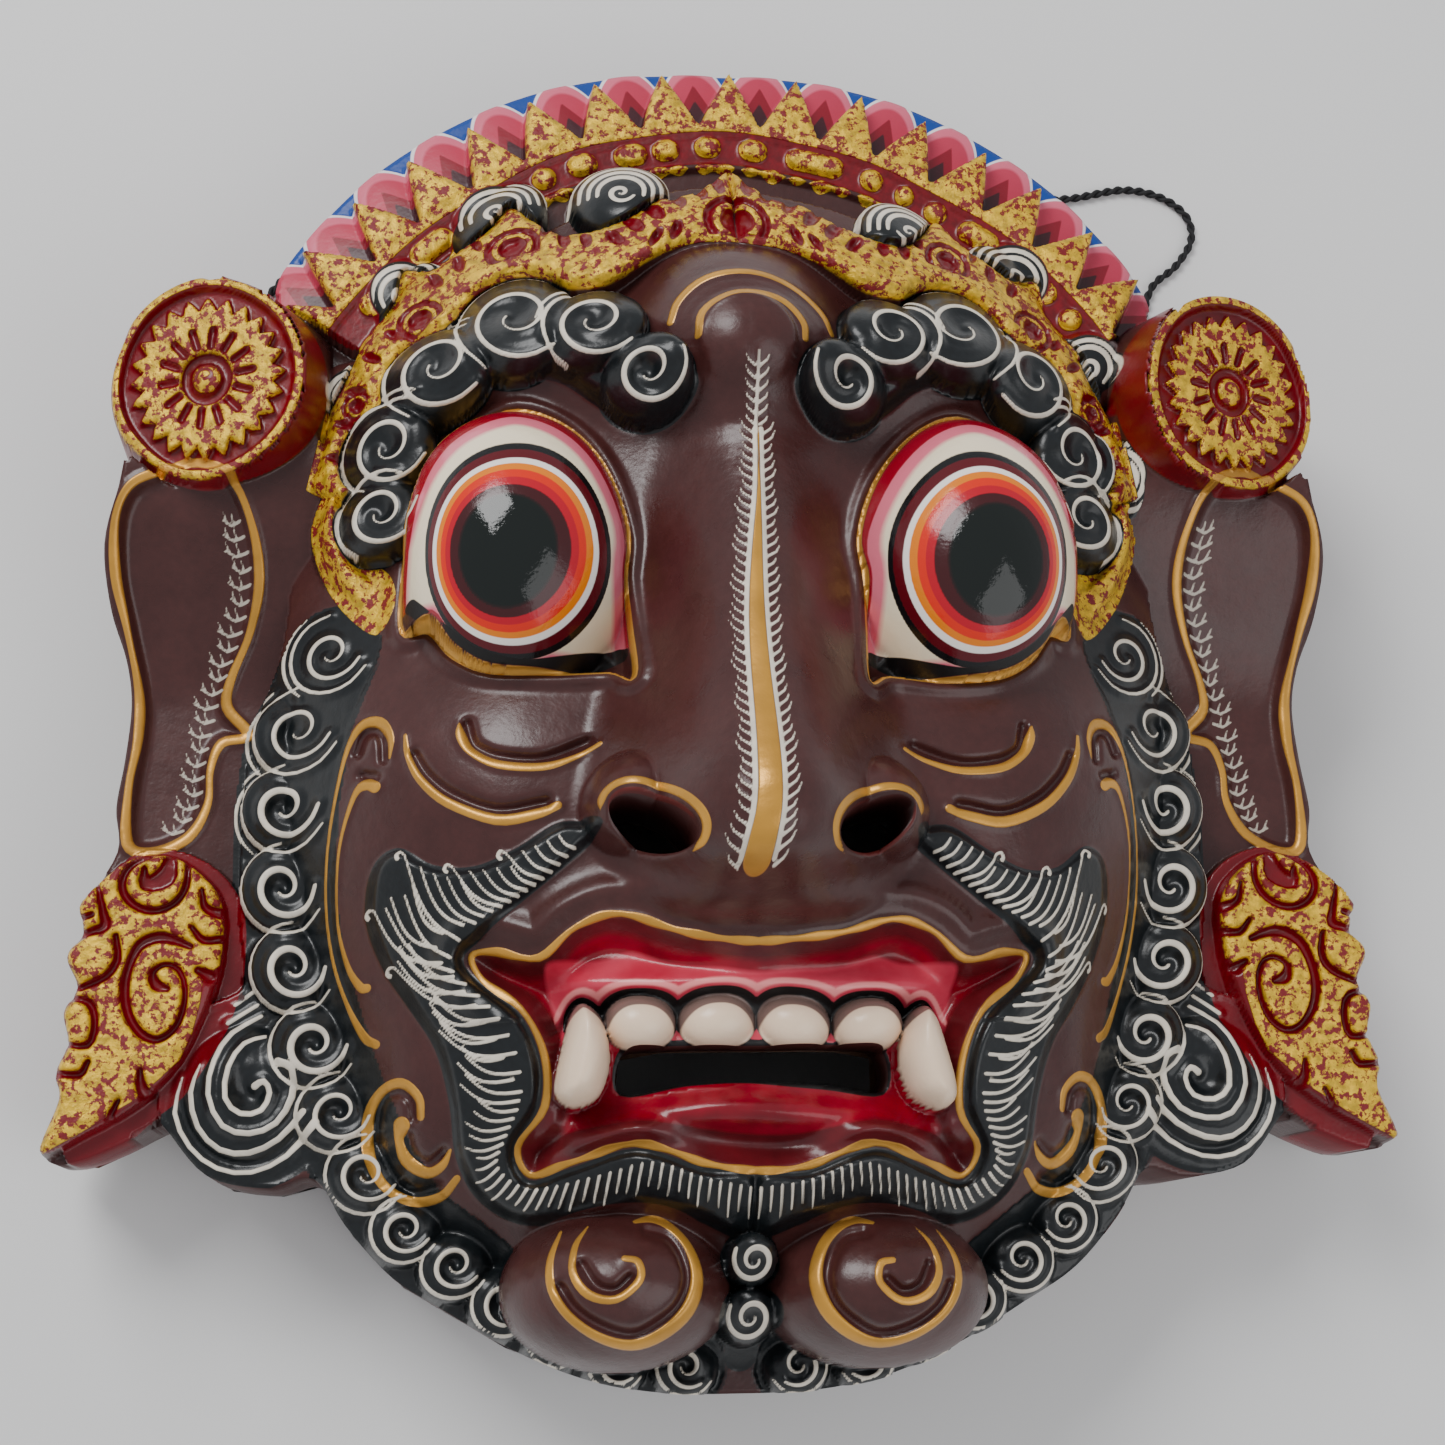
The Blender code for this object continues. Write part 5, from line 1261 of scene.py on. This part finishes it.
def painted_wood(colours):
    """Varnished paint on carved wood: skin, hair, lips, eyes, petals, gold lines, worn gold leaf, painted
    shade.
    """
    p = Paint("varnished paint on wood")
    cloud = p.noise(CLOUD_SIZE)
    grain = p.noise(GRAIN_SIZE, detail=4)

    def mottled(paint, share, noise=cloud, spread=0.2):
        """A paint that a noise turns in places to a darker or lighter share of itself."""
        return p.blend(p.over(noise, 0.5 - spread, 0.5 + spread), tuple(paint), shaded(paint, share))

    skin = mottled(colours.skin, 1.35)
    colour = p.blend(p.over(grain, 0.35, 0.75, 0.0, 0.35), skin, shaded(colours.skin, 0.6))
    rough = p.over(cloud, 0.3, 0.7, 0.24, 0.36)
    metal = 0.0

    def lay(name, paint, roughness, metallic=None, low=0.0, height=0.16):
        """Lay a paint where its attribute is over low, with a soft edge of some height."""
        nonlocal colour, rough, metal
        share = p.over(p.field(name), low, low + height)
        colour = p.blend(share, colour, paint)
        rough = p.mix_value(share, rough, roughness)
        if metallic is not None:
            metal = p.mix_value(share, metal, metallic)
        elif not isinstance(metal, float):
            metal = p.mix_value(share, metal, 0.0)
        return share

    hair = mottled(colours.hair, 1.9, grain)
    lay("hair", hair, 0.3)
    lay("nostril", srgb(96, 28, 24), 0.4)
    # Darker red band inside the mouth's gold line: painted shade at the mouth's sunken edge
    lay("lip_shade", p.blend(p.over(cloud, 0.35, 0.65), srgb(78, 14, 20), srgb(104, 20, 28)), 0.28)
    lay("crimson", p.blend(p.over(cloud, 0.35, 0.65), srgb(118, 2, 24), srgb(160, 6, 38)), 0.22, height=1.2)
    lay("gum", p.blend(p.over(cloud, 0.3, 0.7), srgb(196, 40, 66), srgb(218, 76, 96)), 0.25, height=0.9)
    lay("gum_line", srgb(248, 146, 146), 0.3, height=0.4)
    # Near black round the teeth and the mouth's opening: painted shade
    lay("gap", srgb(16, 15, 16), 0.4)
    # Grey-brown painted shade, showing at the tops of the teeth under the gum
    lay("tooth_edge_shade", srgb(128, 104, 96), 0.3, height=0.3)
    lay("tooth", mottled(colours.ivory, 0.9), 0.28, height=0.3)

    ring = p.over(p.field("eye_ring"), -1.0, 11.0)
    tones = [srgb(*tone) for tone in EYE_TONES]
    stops = [(0.0, tones[0])]
    for k in range(1, len(tones)):
        stops.append((k / 12.0 - 0.005, tones[k - 1]))
        stops.append((k / 12.0 + 0.005, tones[k]))
    sclera = p.ramp(ring, stops)
    outside = p.over(p.field("eye_ring"), 6.9, 7.1)
    pink = p.math("MULTIPLY", outside, p.over(p.field("eye_pink"), 0.0, 1.1))
    rim = p.math("MULTIPLY", outside, p.over(p.field("eye_red"), 0.0, 0.2))
    sclera = p.blend(rim, p.blend(pink, sclera, srgb(236, 120, 140)), srgb(160, 6, 36))
    gloss = p.over(p.field("eye_ring"), -0.1, 0.1, 0.05, 0.2)
    lay("eye", sclera, gloss, low=-0.1, height=0.2)
    # Near black in the slit under each eye: painted shade
    lay("slit", srgb(12, 12, 13), 0.5)

    tone = srgb(*PETAL_HEART_TONE)
    for measure, low, high, paint in PETAL_TONES:
        tone = p.blend(p.over(p.field(measure), low, high), tone, srgb(*paint))
    lay("crown", p.blend(p.over(p.field("petal"), 0.0001, 0.0002), tuple(colours.skin), tone), 0.35)
    lay("crown_red", mottled(colours.red, 0.55, grain), 0.3)
    lay("crown_hair", hair, 0.3)
    red = mottled(colours.red, 0.6)
    lay("diadem", red, 0.3)
    lay("plug", red, 0.3)
    lay("leaf_red", red, 0.26)

    flake = p.noise(0.0019, detail=5, roughness=0.7)
    patch = p.noise(0.006, detail=3)
    worn = p.math("ADD", flake, p.over(patch, 0.3, 0.7, -0.05, 0.05))
    bright = mottled(colours.leaf, 0.5, p.noise(0.0022, detail=4), spread=0.15)
    gold = p.blend(p.over(worn, 0.455, 0.49), srgb(124, 6, 18), bright)
    leaf_share = lay("gold_leaf", gold, p.over(worn, 0.45, 0.5, 0.45, 0.32),
                     p.over(worn, 0.45, 0.49, 0.0, 0.35))
    lay("gilt", mottled(colours.gilt, 0.75, spread=0.15), 0.34, 0.45)
    chalk = mottled(colours.chalk, 0.82, p.noise(0.004), spread=0.15)
    lay("chalk", chalk, 0.38)
    lay("hairs", chalk, 0.38)
    lay("grey", shaded(colours.chalk, 0.6), 0.38)

    relief = p.bump(p.noise(0.0045, detail=3), 0.0004, 0.35)
    relief = p.bump(p.noise(0.0007, detail=3), 0.0001, 0.3, relief)
    crumple = p.math("MULTIPLY", leaf_share, p.noise(0.0011, detail=5, roughness=0.65))
    relief = p.bump(crumple, 0.0006, 0.6, relief)
    strokes = p.math("MAXIMUM", p.over(p.field("chalk"), 0.0, 0.3), p.over(p.field("gilt"), 0.0, 0.3))
    strokes = p.math("MAXIMUM", strokes, p.over(p.field("hairs"), 0.0, 0.2))
    relief = p.bump(strokes, 0.00015, 0.7, relief)
    below = p.math("SUBTRACT", p.field("wall"), p.over(p.field("crown"), 0.0, 0.1, 0.0, 0.2))
    wall = p.over(below, 0.06, 0.08)
    side_paint = p.blend(p.over(p.math("MAXIMUM", p.field("plug"), p.field("leaf_red")), 0.0, 0.3), skin, red)
    p.set(p.shader.inputs["Base Color"], p.blend(wall, colour, side_paint))
    p.set(p.shader.inputs["Roughness"], rough)
    p.set(p.shader.inputs["Metallic"], p.mix_value(wall, metal, 0.0))
    p.set(p.shader.inputs["Normal"], relief)
    return p.material


def bare_wood(colours):
    """Dark stained wood with the marks of the gouge, inside the hollow and on the back."""
    p = Paint("stained wood inside")
    node = p.add("ShaderNodeMapping")
    p.set(node.inputs["Vector"], p.place)
    node.inputs["Scale"].default_value = (1.0, 0.12, 1.0)
    p.place = node.outputs["Vector"]
    fibre = p.noise(0.002, detail=5, roughness=0.7)
    tone = p.blend(p.over(fibre, 0.3, 0.7), tuple(colours.wood), shaded(colours.wood, 0.45))
    p.set(p.shader.inputs["Base Color"], tone)
    p.set(p.shader.inputs["Roughness"], p.over(fibre, 0.3, 0.7, 0.6, 0.8))
    gouge = p.add("ShaderNodeTexVoronoi", feature="SMOOTH_F1")
    gouge.inputs["Scale"].default_value = 110.0
    gouge.inputs["Smoothness"].default_value = 0.4
    p.set(gouge.inputs["Vector"], p.place)
    relief = p.bump(gouge.outputs["Distance"], 0.0012, 0.5)
    p.set(p.shader.inputs["Normal"], p.bump(fibre, 0.0003, 0.4, relief))
    return p.material


def thread(colours):
    """Black waxed thread with a little fuzz."""
    p = Paint("black waxed thread")
    fuzz = p.noise(0.0004, detail=4)
    p.set(p.shader.inputs["Base Color"], p.blend(fuzz, tuple(colours.cord), shaded(colours.cord, 2.5)))
    p.shader.inputs["Roughness"].default_value = 0.75
    p.set(p.shader.inputs["Normal"], p.bump(fuzz, 0.0002, 0.7))
    return p.material


def hollow_back():
    """The hollow's inside, the flat rim and the backs of the ears, from a merged copy of the solid."""
    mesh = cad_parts["mask"].data.copy()
    mesh.name = "hollow_back"
    bm = bmesh.new()
    bm.from_mesh(mesh)
    bmesh.ops.remove_doubles(bm, verts=bm.verts[:], dist=0.00001)
    gone = []
    for f in bm.faces:
        at = f.calc_center_median()
        px, py, pz = at.x / UNIT, at.y / UNIT + PLAN_CENTRE_Y, at.z / UNIT
        share = float(hollow_share(px, py))
        inside = share < 1.003 and pz < float(hollow_height(px, py)) + 1.0
        low = f.normal.z < -0.3 and pz < EAR_BACK_GAP / UNIT + 0.3
        gap = pz < EAR_BACK_GAP / UNIT + 0.3 and abs(f.normal.z) < 0.3 and 86 < abs(px)
        if gap:
            root = smooth_curve(EAR_ROOT, steps=3)
            gap = float(line_distance(np.array([abs(px)]), np.array([py]), root, False)[0]) < 1.5
        if not (inside or low or gap):
            gone.append(f)
    bmesh.ops.delete(bm, geom=gone, context="FACES")
    bm.to_mesh(mesh)
    bm.free()
    mesh.materials.clear()
    mesh.polygons.foreach_set("use_smooth", [True] * len(mesh.polygons))
    mesh.set_sharp_from_angle(angle=math.radians(50))
    return link("hollow_back", mesh)


def bore_way(hand):
    """Middle of the bore's outer mouth and its direction outwards, before the plan is centred."""
    across, up = BORE_MOUTH
    c, s = turn_by(BORE_TURN)
    return Vector((hand * across * UNIT, up * UNIT, BORE_HEIGHT)), Vector((hand * c, s, 0))


def knot_place(hand):
    """Middle of the knot that stops the cord inside the hollow, just clear of the wall."""
    mouth, way = bore_way(hand)
    inward = mouth.copy()
    while hollow_share(inward.x / UNIT, inward.y / UNIT) > 1 or \
            hollow_height(inward.x / UNIT, inward.y / UNIT) * UNIT < BORE_HEIGHT + KNOT_DIAMETER / 2:
        inward -= way * 0.0002
    return inward - way * (KNOT_DIAMETER / 2 + TOUCH_GAP)


def cord_line():
    """The cord's middle line from knot to knot, in metres."""
    route = [Vector((px * UNIT, py * UNIT, max(pz * UNIT, CORD_DIAMETER / 2 + 0.0001)))
             for px, py, pz in CORD_ROUTE]
    ends = []
    for hand in (-1, 1):
        mouth, way = bore_way(hand)
        start = knot_place(hand) + way * (KNOT_DIAMETER / 2 + TOUCH_GAP)
        ends.append([start, start.lerp(mouth, 0.5), mouth, mouth + way * 2 * CORD_DIAMETER])
    line = smooth_curve([*ends[0], *route, *ends[1][::-1]], steps=16)
    return line - np.array([0, PLAN_CENTRE_Y * UNIT, 0])


def even_places(line, spacing):
    """Points along a line at about an even spacing, and the line's length."""
    along = along_line(line)
    places = np.linspace(0, along[-1], round(along[-1] / spacing) + 1)
    return np.stack([np.interp(places, along, line[:, i]) for i in range(3)], axis=1), along[-1]


def twisted_cord(line, spacing=0.0006, pitch=0.0052):
    """Two strands laid round each other along the line."""
    places = even_places(line, spacing)[0]
    bm = bmesh.new()
    strand = CORD_DIAMETER * STRAND_SHARE
    for start in (0.0, math.pi):
        for i, place in enumerate(places):
            ahead = Vector(places[min(i + 1, len(places) - 1)]) - Vector(places[max(i - 1, 0)])
            ahead.normalize()
            across = ahead.cross(Vector((0, 0, 1))).normalized()
            up = across.cross(ahead)
            turn = 2 * math.pi * i * spacing / pitch + start
            offset = (across * math.cos(turn) + up * math.sin(turn)) * (CORD_DIAMETER / 2 - strand)
            here = Matrix((across, up, ahead)).transposed().to_4x4()
            here.translation = Vector(place) + offset
            if i == 0:
                verts = bmesh.ops.create_circle(bm, cap_ends=True, segments=6, radius=strand,
                                                matrix=here)["verts"]
                ring = list({e for v in verts for e in v.link_edges if e.is_boundary})
                local = {v: here.inverted() @ v.co for v in verts}
                continue
            grown = bmesh.ops.extrude_edge_only(bm, edges=ring)["geom"]
            fresh = [v for v in grown if isinstance(v, bmesh.types.BMVert)]
            local = {v: local[next(e.other_vert(v) for e in v.link_edges if e.other_vert(v) in local)]
                     for v in fresh}
            for v, spot in local.items():
                v.co = here @ spot
            ring = [e for e in grown if isinstance(e, bmesh.types.BMEdge)]
        bmesh.ops.holes_fill(bm, edges=ring, sides=0)
    bmesh.ops.recalc_face_normals(bm, faces=bm.faces[:])
    return link("twisted_cord", mesh_of("twisted_cord", bm))


def overhand_knot(name, hand):
    """A tight knot: the cord's own thickness wound in a trefoil."""
    middle = knot_place(hand) - Vector((0, PLAN_CENTRE_Y * UNIT, 0))
    place = Matrix.Translation(middle) @ bore_way(hand)[1].to_track_quat("Z", "Y").to_matrix().to_4x4()
    bm = bmesh.new()
    bmesh.ops.create_uvsphere(bm, u_segments=48, v_segments=28, radius=KNOT_DIAMETER / 2)
    for v in bm.verts:
        angle = math.atan2(v.co.y, v.co.x)
        height = v.co.z / (KNOT_DIAMETER / 2)
        v.co *= 0.93 + 0.07 * math.cos(3 * angle + 5 * height)
    bmesh.ops.transform(bm, matrix=place, verts=bm.verts[:])
    return link(name, mesh_of(name, bm))


def colour_setting(name, text, red, green, blue):
    """A colour on the panel, given by its 0-255 values on the screen."""
    return bpy.props.FloatVectorProperty(name=name, description=text, subtype="COLOR", size=3, min=0, max=1,
                                         default=srgb(red, green, blue))


def length_setting(name, text, value, low, high):
    """A length in metres on the panel."""
    return bpy.props.FloatProperty(name=name, description=text, default=value, min=low, max=high, precision=5,
                                   subtype="DISTANCE", unit="LENGTH")


def number_setting(name, text, value, low, high):
    """A plain number on the panel."""
    return bpy.props.FloatProperty(name=name, description=text, default=value, min=low, max=high)


class MaskSizes(bpy.types.PropertyGroup):
    """Sizes of the carved surface and the cord"""
    grid_step: length_setting("Relief step", "Spacing of the carved surface's points", 0.00044, 0.0003, 0.003)
    strand_pitch: length_setting("Strand pitch", "Length of one turn of the strands", 0.0052, 0.003, 0.02)


class MaskColours(bpy.types.PropertyGroup):
    """Colours of the paints, the gold and the wood"""
    skin: colour_setting("Skin", "Dark brown paint of the face", 66, 33, 31)
    hair: colour_setting("Hair", "Blue-black paint of hair and whiskers", 13, 17, 19)
    chalk: colour_setting("White lines", "Cream white of the painted hairs", 240, 230, 212)
    ivory: colour_setting("Teeth", "Ivory paint of the teeth", 255, 226, 196)
    red: colour_setting("Red ground", "Dark red under and beside the gold leaf", 128, 2, 22)
    leaf: colour_setting("Gold leaf", "Worn gold leaf of crown, plugs and pendants", 255, 206, 46)
    gilt: colour_setting("Gold lines", "Gold paint of the lines on the face", 222, 162, 66)
    wood: colour_setting("Inside wood", "Stained wood of the hollow and the back", 96, 62, 40)
    cord: colour_setting("Cord", "Black thread of the hanging cord", 18, 18, 20)


class MaskStage(bpy.types.PropertyGroup):
    """Light, floor and camera"""
    lens: number_setting("Lens", "Focal length of the camera in millimetres", 69.5, 20, 300)
    distance: length_setting("Camera distance", "Distance of the camera from the face", 0.560, 0.2, 5)
    key_power: number_setting("Key light", "Power of the large soft light", 9.5, 0, 200)
    fill_power: number_setting("Fill light", "Power of the light on the other side", 3.0, 0, 200)
    world: number_setting("Sky", "Strength of the even light from all round", 0.55, 0, 5)


def finished(piece, slot, *nodes):
    """Give a piece its body and hide the solids that it stands for. The slot is not used."""
    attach(piece, "root")
    if nodes:
        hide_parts(*nodes)


class MASK_OT_stage(bpy.types.Operator):
    """Set up the camera, the pale floor and the soft lights"""
    bl_idname = "mask.stage"
    bl_label = "Stage"

    def execute(self, context):
        stage = context.scene.mask_stage
        aim_x, aim_y, aim_z = CAMERA_AIM
        aim = Vector((aim_x * UNIT, (aim_y - PLAN_CENTRE_Y) * UNIT, aim_z * UNIT))
        lean_x, lean_y = (-math.tan(math.radians(angle)) for angle in CAMERA_LEAN)
        back = Vector((lean_x, lean_y, 1)).normalized()
        right = (-back).cross(Vector((0, 1, 0))).normalized()
        up = right.cross(-back)
        c, s = turn_by(CAMERA_ROLL)
        across, above = right * c + up * s, up * c - right * s
        camera = bpy.data.cameras.new("camera")
        camera.lens = stage.lens
        camera.sensor_width = 36
        camera.clip_start = 0.01
        view = link("camera", camera)
        turn = Matrix((across, above, back)).transposed().to_4x4()
        view.matrix_world = Matrix.Translation(aim + back * stage.distance) @ turn
        context.scene.camera = view

        bm = bmesh.new()
        bmesh.ops.create_grid(bm, x_segments=1, y_segments=1, size=FLOOR_HALF)
        floor = link("floor", mesh_of("floor", bm, smooth=False))
        p = Paint("pale floor")
        p.shader.inputs["Base Color"].default_value = (0.82, 0.82, 0.81, 1)
        p.shader.inputs["Roughness"].default_value = 0.9
        floor.data.materials.append(p.material)

        for name, place, size, power in (("key_light", (-0.5, 0.6, 0.9), 0.55, stage.key_power),
                                         ("fill_light", (0.6, -0.5, 0.8), 0.8, stage.fill_power)):
            light = bpy.data.lights.new(name, "AREA")
            light.shape = "RECTANGLE"
            light.size = size
            light.size_y = size
            light.energy = power
            lamp = link(name, light)
            lamp.location = place
            lamp.rotation_euler = (-Vector(place)).to_track_quat("-Z", "Y").to_euler()
        world = bpy.data.worlds.new("pale studio")
        world.use_nodes = True
        sky = world.node_tree.nodes["Background"].inputs
        sky["Color"].default_value = (0.95, 0.96, 1.0, 1)
        sky["Strength"].default_value = stage.world
        context.scene.world = world
        return {"FINISHED"}


class MASK_OT_cord(bpy.types.Operator):
    """Lay the twisted hanging cord behind the crown, with a knot on each end"""
    bl_idname = "mask.cord"
    bl_label = "Hanging cord"

    def execute(self, context):
        sizes = context.scene.mask_sizes
        colour = thread(context.scene.mask_colours)
        line = cord_line()
        cord = twisted_cord(line, pitch=sizes.strand_pitch)
        knots = [overhand_knot("end_knot_left", -1), overhand_knot("end_knot_right", 1)]
        for piece in (cord, *knots):
            piece.data.materials.append(colour)
        finished(cord, "cord", "hanging_cord")
        finished(knots[0], "cord", "knot_left")
        finished(knots[1], "cord", "knot_right")
        return {"FINISHED"}


class MASK_OT_carving(bpy.types.Operator):
    """Carve and paint the face, crown, jaw and ears"""
    bl_idname = "mask.carving"
    bl_label = "Carved and painted mask"

    def execute(self, context):
        step = context.scene.mask_sizes.grid_step / UNIT * 1.0
        whole = carved_whole(step)
        paint = painted_wood(context.scene.mask_colours)
        for piece in pieces_of(whole, PIECES):
            piece.data.materials.append(paint)
            finished(piece, "painted_wood", "mask")
        bpy.data.meshes.remove(whole)
        return {"FINISHED"}


class MASK_OT_back(bpy.types.Operator):
    """Make the hollowed back, the flat rim and the backs of the ears"""
    bl_idname = "mask.back"
    bl_label = "Hollow back"

    def execute(self, context):
        back = hollow_back()
        back.data.materials.append(bare_wood(context.scene.mask_colours))
        finished(back, "painted_wood", "mask")
        return {"FINISHED"}


class MASK_PT_panel(bpy.types.Panel):
    """Sizes, colours and build steps of the mask"""
    bl_idname = "MASK_PT_panel"
    bl_label = "Carved mask"
    bl_space_type = "VIEW_3D"
    bl_region_type = "UI"
    bl_category = "Mask"

    def draw(self, context):
        for group in (context.scene.mask_sizes, context.scene.mask_colours, context.scene.mask_stage):
            box = self.layout.box()
            for name in group.__annotations__:
                box.prop(group, name)
        for step in (MASK_OT_stage, MASK_OT_cord, MASK_OT_carving, MASK_OT_back):
            self.layout.operator(step.bl_idname)


CLASSES = (MaskSizes, MaskColours, MaskStage, MASK_OT_stage, MASK_OT_cord, MASK_OT_carving, MASK_OT_back,
           MASK_PT_panel)


def register():
    """Add the panel, its settings and the build steps."""
    for cls in CLASSES:
        bpy.utils.register_class(cls)
    bpy.types.Scene.mask_sizes = bpy.props.PointerProperty(type=MaskSizes)
    bpy.types.Scene.mask_colours = bpy.props.PointerProperty(type=MaskColours)
    bpy.types.Scene.mask_stage = bpy.props.PointerProperty(type=MaskStage)


def unregister():
    """Take them away again."""
    del bpy.types.Scene.mask_stage
    del bpy.types.Scene.mask_colours
    del bpy.types.Scene.mask_sizes
    for cls in reversed(CLASSES):
        bpy.utils.unregister_class(cls)


def main():
    """Build every piece in order."""
    register()
    bpy.ops.mask.stage()
    bpy.ops.mask.cord()
    bpy.ops.mask.carving()
    bpy.ops.mask.back()


if __name__ == "__main__":
    main()
